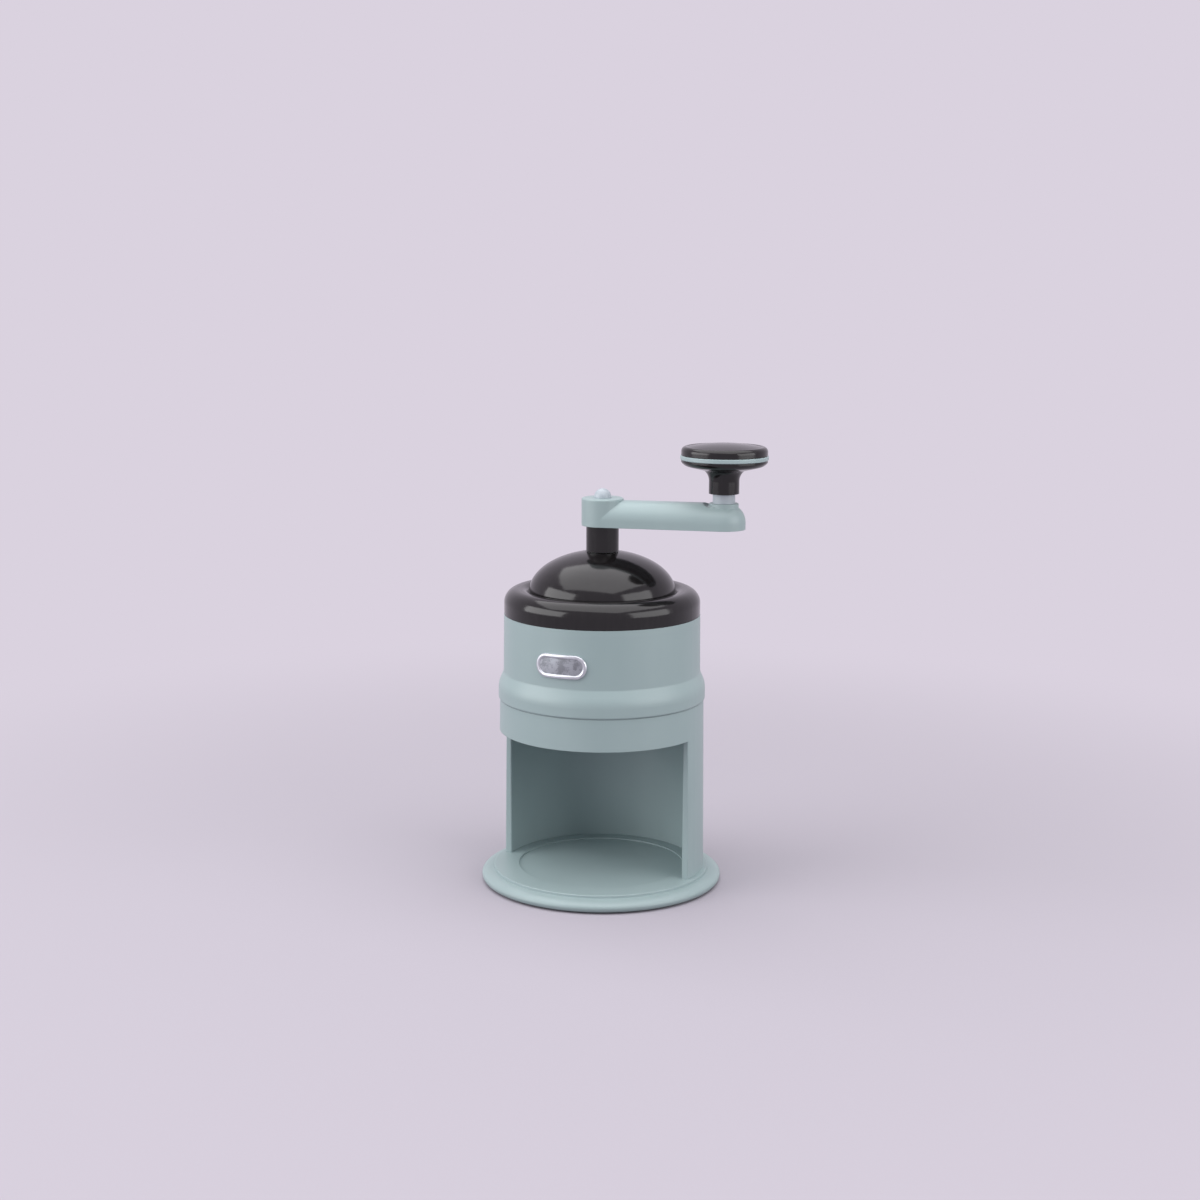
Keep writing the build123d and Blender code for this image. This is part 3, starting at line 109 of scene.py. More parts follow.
# ---------------------------------------------------------------- materials
class Signal:
    """A number in a material. Arithmetic on it adds Math nodes."""

    def __init__(self, bench: "Desk", socket: bpy.types.NodeSocket) -> None:
        self.bench = bench
        self.socket = socket

    def _math(self, operation: str, first: Number, second: Number = 0.0) -> "Signal":
        """Adds one Math node.

        Args:
            operation: The node's operation.
            first: Its first value or link.
            second: Its second value or link.

        Returns:
            The node's result.
        """
        node = self.bench.add("ShaderNodeMath", {"operation": operation}, {0: first, 1: second})
        return Signal(self.bench, node.outputs[0])

    def __add__(self, other: Number) -> "Signal":
        """This value plus another."""
        return self._math("ADD", self, other)

    def __radd__(self, other: Number) -> "Signal":
        """Another value plus this one."""
        return self._math("ADD", other, self)

    def __sub__(self, other: Number) -> "Signal":
        """This value less another."""
        return self._math("SUBTRACT", self, other)

    def __rsub__(self, other: Number) -> "Signal":
        """Another value less this one."""
        return self._math("SUBTRACT", other, self)

    def __mul__(self, other: Number) -> "Signal":
        """This value times another."""
        return self._math("MULTIPLY", self, other)

    def __rmul__(self, other: Number) -> "Signal":
        """Another value times this one."""
        return self._math("MULTIPLY", other, self)

    def size(self) -> "Signal":
        """This value without its sign."""
        return self._math("ABSOLUTE", self)

    def root(self) -> "Signal":
        """The square root of this value."""
        return self._math("SQRT", self)

    def least(self, floor: Number) -> "Signal":
        """This value, but never below a floor."""
        return self._math("MAXIMUM", self, floor)

    def smooth(self, low: float, high: float) -> "Signal":
        """Rises smoothly from nought at low to one at high.

        Args:
            low: Where the rise starts.
            high: Where the rise ends.

        Returns:
            The eased value.
        """
        node = self.bench.add(
            "ShaderNodeMapRange",
            {"interpolation_type": "SMOOTHSTEP"},
            {"Value": self, "From Min": low, "From Max": high, "To Min": 0.0, "To Max": 1.0},
        )
        return Signal(self.bench, node.outputs["Result"])


class Desk:
    """An emptied node tree, and the one way to add nodes to it."""

    def __init__(self, tree: bpy.types.NodeTree) -> None:
        self.tree = tree
        self.tree.nodes.clear()

    def add(self, kind: str, settings: dict, inputs: dict) -> bpy.types.Node:
        """Adds a node, sets it up and then feeds its sockets.

        Args:
            kind: The node's type.
            settings: Properties set before anything is linked.
            inputs: Values, sockets or signals by socket name or number.

        Returns:
            The new node.
        """
        node = self.tree.nodes.new(kind)
        for key, value in settings.items():
            setattr(node, key, value)
        for key, value in inputs.items():
            self.feed(node.inputs[key], value)
        return node

    def feed(self, socket: bpy.types.NodeSocket, value: object) -> None:
        """Links or sets one socket.

        Args:
            socket: The input to feed.
            value: A signal or socket to link, or a value to set.
        """
        if isinstance(value, Signal):
            self.tree.links.new(value.socket, socket)
        elif isinstance(value, bpy.types.NodeSocket):
            self.tree.links.new(value, socket)
        elif isinstance(value, tuple) and socket.type == "RGBA" and len(value) == 3:
            socket.default_value = (*value, 1.0)
        else:
            socket.default_value = value

    def direct_rays(self) -> Signal:
        """Parts the rays that show the paper's own colour from the light that falls on the shaver.

        Returns:
            One for rays seen straight, mirrored or through a clear piece, and nought for the rest.
        """
        path = self.add("ShaderNodeLightPath", {}, {})
        seen, mirrored, through = (
            Signal(self, path.outputs[name])
            for name in ("Is Camera Ray", "Is Glossy Ray", "Is Transmission Ray")
        )
        return seen.least(mirrored).least(through)


class Bench(Desk):
    """The node tree of one material with its principled shader."""

    def __init__(self, name: str) -> None:
        self.material = bpy.data.materials.new(name)
        self.material.use_nodes = True
        super().__init__(self.material.node_tree)
        self.output = self.tree.nodes.new("ShaderNodeOutputMaterial")
        self.shader = self.tree.nodes.new("ShaderNodeBsdfPrincipled")
        self.tree.links.new(self.shader.outputs[0], self.output.inputs["Surface"])
        self.place = self.add("ShaderNodeTexCoord", {}, {}).outputs["Object"]

    def set(self, **values: object) -> None:
        """Feeds the principled shader's sockets, named with underscores for spaces."""
        for key, value in values.items():
            self.feed(self.shader.inputs[key.replace("_", " ")], value)

    def noise(self, scale: float, detail: float = 3.0, stretch: Triple = (1, 1, 1)) -> Signal:
        """A noise pattern in object space.

        Args:
            scale: Features per metre.
            detail: Finer layers on it.
            stretch: Scale along each axis.

        Returns:
            The noise, around one half.
        """
        mapping = self.add("ShaderNodeMapping", {}, {"Vector": self.place, "Scale": stretch})
        node = self.add(
            "ShaderNodeTexNoise",
            {"noise_dimensions": "3D"},
            {"Vector": mapping.outputs[0], "Scale": scale, "Detail": detail, "Roughness": 0.55},
        )
        return Signal(self, node.outputs[0])

    def mix(self, share: Number, first: Colour, second: Colour) -> bpy.types.NodeSocket:
        """Blends two colours.

        Args:
            share: How much of the second.
            first: A colour or link.
            second: A colour or link.

        Returns:
            The blended colour.
        """
        node = self.add("ShaderNodeMix", {"data_type": "RGBA"}, {0: share, 6: first, 7: second})
        return node.outputs[2]

    def bump(self, height: Signal, distance: float, strength: float, edge: float = 0.0) -> None:
        """Raises the surface by a height pattern and softens sharp edges.

        Args:
            height: The pattern.
            distance: Its full height in metres.
            strength: How much of it shows.
            edge: Radius of the softened edges in metres.
        """
        node = self.add(
            "ShaderNodeBump", {}, {"Height": height, "Distance": distance, "Strength": strength}
        )
        if edge > 0.0:
            round_edge = self.add("ShaderNodeBevel", {"samples": 6}, {"Radius": edge})
            self.feed(node.inputs["Normal"], round_edge.outputs[0])
        self.set(Normal=node.outputs[0])


@dataclass(frozen=True)
class MouldedPlastic:
    """Satin moulded plastic with a fine spark-eroded grain and faint flow marks."""

    name: str
    colour: Colour
    shade: Colour
    roughness: float = 0.42
    grain: float = 4200.0
    depth: float = 0.000006
    edge: float = 0.00035

    def build(self) -> bpy.types.Material:
        """Makes the material.

        Returns:
            The finished material.
        """
        bench = Bench(self.name)
        cloud = bench.noise(9.0, 2.0, (1, 1, 0.6))
        flow = bench.noise(55.0, 3.0, (1, 1, 0.25))
        grain = bench.noise(self.grain, 1.0)
        tone = (cloud * 0.65 + flow * 0.35).smooth(0.3, 0.7)
        bench.set(
            Base_Color=bench.mix(tone, self.shade, self.colour),
            Roughness=self.roughness + (flow - 0.5) * 0.10 + (grain - 0.5) * 0.08,
        )
        bench.bump(grain, self.depth, 0.6, self.edge)
        return bench.material


@dataclass(frozen=True)
class PolishedPlastic:
    """Glossy moulded plastic with a slow ripple and faint wiping marks."""

    name: str
    colour: Colour
    roughness: float = 0.13
    ripple: float = 0.00003
    edge: float = 0.0004

    def build(self) -> bpy.types.Material:
        """Makes the material.

        Returns:
            The finished material.
        """
        bench = Bench(self.name)
        ripple = bench.noise(38.0, 2.0)
        wipe = bench.noise(420.0, 4.0, (1, 1, 0.12))
        dust = bench.noise(2600.0, 2.0)
        haze = (wipe * 0.7 + ripple * 0.3).smooth(0.42, 0.75)
        lighter = tuple(min(1.0, channel * 1.6 + 0.003) for channel in self.colour)
        bench.set(
            Base_Color=bench.mix(haze * 0.5 + dust.smooth(0.6, 0.8) * 0.4, self.colour, lighter),
            Roughness=self.roughness + haze * 0.05 + dust.smooth(0.55, 0.8) * 0.05,
            Specular_IOR_Level=0.42,
        )
        bench.bump(ripple * 0.8 + dust * 0.01, self.ripple, 0.4, self.edge)
        return bench.material


@dataclass(frozen=True)
class Steel:
    """Turned, drawn or brushed steel with fine marks along one axis."""

    name: str
    colour: Colour
    roughness: float = 0.3
    along: Triple = (1, 1, 14)
    edge: float = 0.00015

    def build(self) -> bpy.types.Material:
        """Makes the material.

        Returns:
            The finished material.
        """
        bench = Bench(self.name)
        marks = bench.noise(900.0, 3.0, self.along)
        stain = bench.noise(60.0, 3.0)
        darker = tuple(channel * 0.72 for channel in self.colour)
        bench.set(
            Base_Color=bench.mix((marks * 0.6 + stain * 0.4).smooth(0.3, 0.7), darker, self.colour),
            Metallic=1.0,
            Roughness=self.roughness + (marks - 0.5) * 0.22,
        )
        bench.bump(marks, 0.00001, 0.5, self.edge)
        return bench.material


@dataclass(frozen=True)
class Rubber:
    """Matt rubber with a fine tooth and dusty patches."""

    name: str
    colour: Colour

    def build(self) -> bpy.types.Material:
        """Makes the material.

        Returns:
            The finished material.
        """
        bench = Bench(self.name)
        tooth = bench.noise(2400.0, 3.0)
        dusty = bench.noise(110.0, 3.0).smooth(0.45, 0.7)
        paler = tuple(min(1.0, channel * 1.5 + 0.01) for channel in self.colour)
        bench.set(
            Base_Color=bench.mix(dusty, self.colour, paler),
            Roughness=0.72 + (tooth - 0.5) * 0.2,
        )
        bench.bump(tooth, 0.00003, 0.5)
        return bench.material


@dataclass(frozen=True)
class PlatedBadge:
    """Satin silver plating, bright on the rim and dark in the pebbled field."""

    name: str
    rim: Colour
    field: Colour
    centre: Triple = (0.0022, -0.0589, 0.1424)
    half_run: float = 0.00880
    field_radius: float = 0.00455
    field_blend: float = 0.0004

    def build(self) -> bpy.types.Material:
        """Makes the material.

        Returns:
            The finished material.
        """
        bench = Bench(self.name)
        pebble = bench.noise(1700.0, 2.0)
        cloud = bench.noise(240.0, 2.0)
        split = bench.add("ShaderNodeSeparateXYZ", {}, {"Vector": bench.place})
        across = Signal(bench, split.outputs[0]) - self.centre[0]
        level = Signal(bench, split.outputs[2]) - self.centre[2]
        beyond = (across.size() - self.half_run).least(0.0)
        reach = (beyond * beyond + level * level).root()
        inside = 1.0 - reach.smooth(self.field_radius, self.field_radius + self.field_blend)
        tarnish = cloud.smooth(0.3, 0.7)
        worn = tuple(channel * 0.82 for channel in self.rim)
        deep = tuple(channel * 0.62 for channel in self.field)
        bright = bench.mix(tarnish, self.rim, worn)
        dark = bench.mix((pebble * 0.6 + tarnish * 0.4).smooth(0.35, 0.65), self.field, deep)
        bench.set(
            Base_Color=bench.mix(inside, bright, dark),
            Metallic=0.85,
            Roughness=0.30 + inside * 0.12 + (pebble - 0.5) * 0.12,
        )
        bench.bump(pebble * inside, 0.00006, 0.6, 0.0003)
        return bench.material


class FinishName(Enum):
    """The finishes of the shaver's pieces, by the record's material slots."""

    MINT = "mint_shell"
    ACCENT = "mint_accent"
    PALE = "grey_plastic"
    GLOSS = "black_gloss"
    BLACK = "black_plastic"
    INNER = "inner_plastic"
    BLADE = "blade_steel"
    SHAFT = "shaft_steel"
    SCREW = "screw_steel"
    BADGE = "badge_silver"
    RUBBER = "rubber_grey"


FINISHES = {
    FinishName.MINT: MouldedPlastic(
        "mint_shell", linear(158, 175, 177), linear(152, 170, 172), 0.38
    ),
    FinishName.ACCENT: MouldedPlastic(
        "mint_accent", linear(163, 180, 183), linear(157, 175, 178), 0.34, edge=0.00015
    ),
    FinishName.PALE: MouldedPlastic(
        "grey_plastic", linear(178, 186, 194), linear(172, 180, 189), 0.34
    ),
    FinishName.GLOSS: PolishedPlastic("black_gloss", linear(21, 19, 20)),
    FinishName.BLACK: MouldedPlastic(
        "black_plastic", linear(30, 28, 29), linear(24, 22, 23), 0.24
    ),
    FinishName.INNER: MouldedPlastic(
        "inner_plastic", linear(200, 205, 207), linear(193, 199, 202), 0.35
    ),
    FinishName.BLADE: Steel("blade_steel", linear(205, 207, 210), 0.22, (14, 1, 1)),
    FinishName.SHAFT: Steel("shaft_steel", linear(190, 190, 192), 0.30, (1, 1, 0.08)),
    FinishName.SCREW: Steel("screw_steel", linear(180, 180, 178), 0.34, (6, 6, 1)),
    FinishName.BADGE: PlatedBadge("badge_silver", linear(206, 209, 214), linear(158, 162, 168)),
    FinishName.RUBBER: Rubber("rubber_grey", linear(74, 76, 80)),
}


@dataclass
class FinishShelf:
    """All finished materials, and which CAD node wears which."""

    materials: dict[FinishName, bpy.types.Material] = field(default_factory=dict)

    def stock(self) -> None:
        """Builds every finish once."""
        for name, finish in FINISHES.items():
            self.materials[name] = finish.build()

    def dress_nodes(self, frame: dict) -> None:
        """Gives each CAD node the finish of its record slot.
        """
        for row in frame["record"]["subparts"]:
            material = self.materials[FinishName(row["material_slot"])]
            for place in frame["nodes"][row["node"]].material_slots:
                place.material = material
            log.info("%s wears %s", row["node"], row["material_slot"])


# ---------------------------------------------------------------- modelling
def clear_selection() -> None:
    """Leaves nothing selected, in object mode."""
    if bpy.context.object and bpy.context.object.mode != "OBJECT":
        bpy.ops.object.mode_set(mode="OBJECT")
    bpy.ops.object.select_all(action="DESELECT")


def pick_faces(piece: bpy.types.Object, wanted: Callable[[bpy.types.MeshPolygon], bool]) -> None:
    """Selects the faces that meet a test, and goes to edit mode in face select.

    Args:
        piece: The active piece.
        wanted: Says whether a face is selected.
    """
    bpy.ops.object.mode_set(mode="EDIT")
    bpy.ops.mesh.select_mode(type="FACE")
    bpy.ops.mesh.select_all(action="DESELECT")
    bpy.ops.object.mode_set(mode="OBJECT")
    for face in piece.data.polygons:
        face.select = wanted(face)
    bpy.ops.object.mode_set(mode="EDIT")


def pick_points(piece: bpy.types.Object, wanted: Callable[[Vector], bool]) -> None:
    """Selects the points that meet a test, and goes to edit mode in point select.

    Args:
        piece: The active piece.
        wanted: Says whether the point at a place is selected.
    """
    bpy.ops.object.mode_set(mode="EDIT")
    bpy.ops.mesh.select_mode(type="VERT")
    bpy.ops.mesh.select_all(action="DESELECT")
    bpy.ops.object.mode_set(mode="OBJECT")
    for point in piece.data.vertices:
        point.select = wanted(point.co)
    bpy.ops.object.mode_set(mode="EDIT")


def apply_place(piece: bpy.types.Object) -> None:
    """Moves a piece's place into its mesh.

    Args:
        piece: The piece, which is left selected and active.
    """
    clear_selection()
    piece.select_set(True)
    bpy.context.view_layer.objects.active = piece
    bpy.ops.object.transform_apply(location=True, rotation=True, scale=True)


def finish_shading(piece: bpy.types.Object, degrees: float) -> None:
    """Smooths a piece's shading up to an angle, with its faces outwards.

    Args:
        piece: The piece to finish.
        degrees: Edges that turn less than this are shaded smooth.
    """
    clear_selection()
    piece.select_set(True)
    bpy.context.view_layer.objects.active = piece
    bpy.ops.object.mode_set(mode="EDIT")
    bpy.ops.mesh.select_all(action="SELECT")
    bpy.ops.mesh.normals_make_consistent(inside=False)
    bpy.ops.object.mode_set(mode="OBJECT")
    bpy.ops.object.shade_smooth_by_angle(angle=math.radians(degrees))


@dataclass
class Badge:
    """The blank silver plate on the housing's front, bowed to the housing's curve."""

    shelf: FinishShelf
    width: float = 31.7 * MM
    height: float = 14.1 * MM
    shoulder: float = 1.0 * MM
    housing_radius: float = 58.78 * MM
    level: float = 142.4 * MM
    turn: float = 2.2
    rim_steps: tuple[tuple[float, float], ...] = (
        (0.25, 0.30), (0.35, 0.20), (0.40, 0.08), (0.55, 0.0), (0.35, -0.10), (0.30, -0.40),
        (0.20, -0.22), (0.45, 0.05),
    )  # inset and rise of each turn from the rim to the field, in mm
    sides: int = 64
    backing: float = 0.4 * MM  # how far the blank reaches back into the wall
    strips: int = 14  # cuts on each side of the middle, 1 mm apart
    smooth_below: float = 40.0

    def build(self) -> bpy.types.Object:
        """Models the plate flat, bows it and sets it on the housing.

        Returns:
            The finished badge.
        """
        plate = self._cut_blank()
        self._raise_rim(plate)
        self._bow(plate)
        self._set_on_housing(plate)
        finish_shading(plate, self.smooth_below)
        plate.data.materials.append(self.shelf.materials[FinishName.BADGE])
        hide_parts("badge_plate")
        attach(plate, "stand")
        log.info("badge: blank plate with a raised rim")
        return plate

    def _cut_blank(self) -> bpy.types.Object:
        """Stretches a short rod into a plate with round ends, facing -Y.

        Returns:
            The flat blank at the origin.
        """
        clear_selection()
        bpy.ops.mesh.primitive_cylinder_add(
            vertices=self.sides, radius=self.height / 2, depth=self.shoulder + self.backing,
            location=(0, (self.backing - self.shoulder) / 2, 0), rotation=(math.pi / 2, 0, 0),
        )
        plate = bpy.context.active_object
        plate.name = "badge"
        apply_place(plate)
        plate.data.transform(Matrix.Rotation(math.pi / self.sides, 4, "Y"))
        run = (self.width - self.height) / 2
        pick_points(plate, lambda co: co.x > 0)
        bpy.ops.transform.translate(value=(run, 0, 0))
        pick_points(plate, lambda co: co.x < 0)
        bpy.ops.transform.translate(value=(-run, 0, 0))
        bpy.ops.object.mode_set(mode="OBJECT")
        return plate

    def _raise_rim(self, plate: bpy.types.Object) -> None:
        """Insets the front face step by step over the rim and down into the field.

        Args:
            plate: The flat blank.
        """
        pick_faces(plate, lambda face: face.normal.y < -FACING)
        for inset, rise in self.rim_steps:
            bpy.ops.mesh.inset(thickness=inset * MM, depth=rise * MM)
        bpy.ops.object.mode_set(mode="OBJECT")

    def _bow(self, plate: bpy.types.Object) -> None:
        """Cuts the plate into narrow strips and bends it round the housing.

        Args:
            plate: The flat plate with its rim.
        """
        bpy.ops.object.mode_set(mode="EDIT")
        bpy.ops.mesh.select_mode(type="FACE")
        for step in range(-self.strips, self.strips + 1):
            bpy.ops.mesh.select_all(action="SELECT")
            bpy.ops.mesh.bisect(plane_co=(step * MM, 0, 0), plane_no=(1, 0, 0))
        bpy.ops.object.mode_set(mode="OBJECT")
        for point in plate.data.vertices:
            angle = point.co.x / self.housing_radius
            radius = self.housing_radius - point.co.y
            point.co = Vector((radius * math.sin(angle), -radius * math.cos(angle), point.co.z))

    def _set_on_housing(self, plate: bpy.types.Object) -> None:
        """Turns and lifts the bent plate to its place."""
        turn = Matrix.Rotation(math.radians(self.turn), 4, "Z")
        plate.data.transform(Matrix.Translation((0, 0, self.level)) @ turn)


@dataclass(frozen=True)
class ScrewRow:
    """One CAD node of like screws, all with their heads down, with its sizes in mm."""

    node: str
    body: str
    spots: tuple[tuple[float, float], ...]
    head_level: float
    tip_level: float
    head_radius: float = 2.6
    head_height: float = 1.6
    shank_radius: float = 1.2


def ring_of(radius: float, angles: Sequence[float]) -> tuple[tuple[float, float], ...]:
    """Places round the axis.

    Args:
        radius: How far from the axis, in mm.
        angles: Where on the ring, in degrees.

    Returns:
        The places in mm, in the order of the angles.
    """
    return tuple(
        (radius * math.cos(math.radians(angle)), radius * math.sin(math.radians(angle)))
        for angle in angles
    )


@dataclass
class ScrewBox:
    """Pan-head screws with cross recesses, modelled once a size and copied to their places."""

    shelf: FinishShelf
    rows: tuple[ScrewRow, ...] = (
        ScrewRow("base_screws", "stand", ring_of(60.15, (15, 65, 115, 165)), 2.5, 17.3),
        ScrewRow("chamber_screws", "stand", ring_of(50.2, (45, 135, 225, 315)), 95.4, 108.5),
        ScrewRow("lid_screws", "lid", ring_of(37.5, (30, 150, 270)), 168.2, 179.0),
        ScrewRow("bridge_screws", "stand", ((-36.5, 20.0), (-10.0, 20.0)), 84.9, 96.5),
        ScrewRow("post_screw", "crank", ((70.0, 18.1),), 217.62, 227.12, 3.6, 1.8, 1.9),
        ScrewRow("shaft_stop_screw", "crank", ((0.0, 0.0),), 104.9, 118.7, 3.6, 1.6, 2.0),
    )
    sides: int = 32
    crown: float = 0.5  # height of the head's rounded top, in mm
    crown_steps: tuple[tuple[float, float], ...] = (
        (0.18, 0.20), (0.35, 0.18), (0.6, 0.09), (0.7, 0.03),
    )  # inset and rise of each turn over the crown, in mm
    point: float = 1.0  # length of the tapered point, in mm
    point_share: float = 0.45  # its end against the shank
    recess_shares: tuple[float, float] = (1.15, 0.25)  # a bar's length and width by head radius
    recess_depth: float = 1.5  # height of the bar that cuts it, in mm
    recess_sink: float = 0.15  # middle of that bar above the head's top, in mm
    recess_floor: Triple = (0.55, 0.7, 1)  # scale of the bar's far end
    first_turn: float = 20.0
    turn_step: float = 47.0
    smooth_below: float = 38.0

    def build(self) -> list[bpy.types.Object]:
        """Models and places every row of screws.

        Returns:
            The screws, one object a row.
        """
        finished = []
        for row in self.rows:
            pattern = self._model_screw(row)
            copies = [
                self._copy_to(pattern, row, index, spot) for index, spot in enumerate(row.spots)
            ]
            bpy.data.objects.remove(pattern)
            clear_selection()
            for copy in copies:
                copy.select_set(True)
            bpy.context.view_layer.objects.active = copies[0]
            if len(copies) > 1:
                bpy.ops.object.join()
            group = bpy.context.view_layer.objects.active
            group.name = row.node + "_dressed"
            finish_shading(group, self.smooth_below)
            group.data.materials.append(self.shelf.materials[FinishName.SCREW])
            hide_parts(row.node)
            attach(group, row.body)
            finished.append(group)
            log.info("%s: %d with cross recesses", row.node, len(row.spots))
        return finished

    def _model_screw(self, row: ScrewRow) -> bpy.types.Object:
        """Turns one screw on the axis, head down, at its level.

        Args:
            row: The sizes of the screw.

        Returns:
            The screw with its recess cut.
        """
        clear_selection()
        rim = row.head_height - self.crown
        bpy.ops.mesh.primitive_cylinder_add(
            vertices=self.sides, radius=row.head_radius * MM, depth=rim * MM,
            location=(0, 0, (row.head_level + self.crown + rim / 2) * MM),
        )
        screw = bpy.context.active_object
        screw.name = row.node + "_pattern"
        apply_place(screw)
        pick_faces(screw, lambda face: face.normal.z < -FACING)
        for inset, rise in self.crown_steps:
            bpy.ops.mesh.inset(thickness=inset * MM, depth=rise * MM)
        pick_faces(screw, lambda face: face.normal.z > FACING)
        bpy.ops.mesh.inset(thickness=(row.head_radius - row.shank_radius) * MM)
        shank = row.tip_level - row.head_level - row.head_height
        for length in (shank - self.point, self.point):
            bpy.ops.mesh.extrude_region_move(
                TRANSFORM_OT_translate={"value": (0, 0, length * MM)},
            )
        bpy.ops.transform.resize(
            value=(self.point_share, self.point_share, 1),
            center_override=(0, 0, row.tip_level * MM),
        )
        bpy.ops.object.mode_set(mode="OBJECT")
        for turn in (0.0, math.pi / 2):
            self._cut_recess(screw, row, turn)
        return screw

    def _cut_recess(self, screw: bpy.types.Object, row: ScrewRow, turn: float) -> None:
        """Cuts one tapered bar of the cross into the head.

        Args:
            screw: The screw to cut.
            row: Its sizes.
            turn: The bar's direction in radians.
        """
        clear_selection()
        bpy.ops.mesh.primitive_cube_add(size=1.0, location=(0, 0, 0))
        cutter = bpy.context.active_object
        length, width = (row.head_radius * share for share in self.recess_shares)
        size = (length * MM, width * MM, self.recess_depth * MM, 1)
        cutter.data.transform(Matrix.Diagonal(size))
        pick_faces(cutter, lambda face: face.normal.z > FACING)
        bpy.ops.transform.resize(value=self.recess_floor, center_override=(0, 0, 0))
        bpy.ops.object.mode_set(mode="OBJECT")
        place = Matrix.Translation((0, 0, (row.head_level + self.recess_sink) * MM))
        cutter.data.transform(place @ Matrix.Rotation(turn, 4, "Z"))
        clear_selection()
        screw.select_set(True)
        bpy.context.view_layer.objects.active = screw
        cut = screw.modifiers.new("recess", "BOOLEAN")
        cut.operation = "DIFFERENCE"
        cut.solver = "EXACT"
        cut.object = cutter
        bpy.ops.object.modifier_apply(modifier=cut.name)
        bpy.data.objects.remove(cutter)

    def _copy_to(self, pattern: bpy.types.Object, row: ScrewRow, index: int,
                 spot: tuple[float, float]) -> bpy.types.Object:
        """Copies the screw to one place, with its cross turned a little further.

        Args:
            pattern: The screw on the axis.
            row: The row it belongs to.
            index: Its number in the row.
            spot: Its place in mm.

        Returns:
            The copy, with a mesh of its own.
        """
        mesh = pattern.data.copy()
        turn = Matrix.Rotation(math.radians(self.first_turn + self.turn_step * index), 4, "Z")
        mesh.transform(Matrix.Translation((spot[0] * MM, spot[1] * MM, 0)) @ turn)
        copy = bpy.data.objects.new("%s_%d" % (row.node, index), mesh)
        bpy.context.scene.collection.objects.link(copy)
        return copy


@dataclass
class PresserSpring:
    """The coil spring between its seat and the presser."""

    shelf: FinishShelf
    radius: float = 11.5 * MM
    wire_radius: float = 0.7 * MM
    turns: int = 12
    rise: float = 50.0 * MM
    fixed_end: float = 184.415 * MM
    steps: int = 30
    wire_sides: int = 12
    weld: float = 0.01 * MM
    smooth_below: float = 40.0

    def build(self) -> bpy.types.Object:
        """Winds the spring over the height of its CAD solid.

        Returns:
            The finished spring.
        """
        low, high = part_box("presser_spring")
        start = low[2] + self.wire_radius
        run = high[2] - low[2] - 2 * self.wire_radius
        clear_selection()
        bpy.ops.mesh.primitive_circle_add(
            vertices=self.wire_sides, radius=self.wire_radius, location=(self.radius, 0, start),
            rotation=(math.pi / 2, 0, 0),
        )
        spring = bpy.context.active_object
        spring.name = "presser_spring_wound"
        apply_place(spring)
        wind = spring.modifiers.new("wind", "SCREW")
        wind.axis = "Z"
        wind.screw_offset = run / self.turns
        wind.iterations = self.turns
        wind.steps = self.steps
        wind.render_steps = self.steps
        bpy.ops.object.modifier_apply(modifier=wind.name)
        bpy.ops.object.mode_set(mode="EDIT")
        bpy.ops.mesh.select_all(action="SELECT")
        bpy.ops.mesh.remove_doubles(threshold=self.weld)
        bpy.ops.mesh.fill_holes(sides=self.wire_sides)
        bpy.ops.object.mode_set(mode="OBJECT")
        finish_shading(spring, self.smooth_below)
        spring.data.materials.append(self.shelf.materials[FinishName.SHAFT])
        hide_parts("presser_spring")
        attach(spring, "crank")
        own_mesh(spring)
        log.info("presser spring: %d turns over %.1f mm", self.turns, run / MM)
        return spring


# ---------------------------------------------------------------- stage, light and camera
@dataclass(frozen=True)
class SoftBox:
    """One soft box: where it hangs, what it faces, its size in metres and its glow."""

    name: str
    spot: Triple
    target: Triple
    width: float
    height: float
    glow: float  # radiance of its face

    def power(self) -> float:
        """The lamp's power in watts."""
        return self.glow * math.pi * self.width * self.height


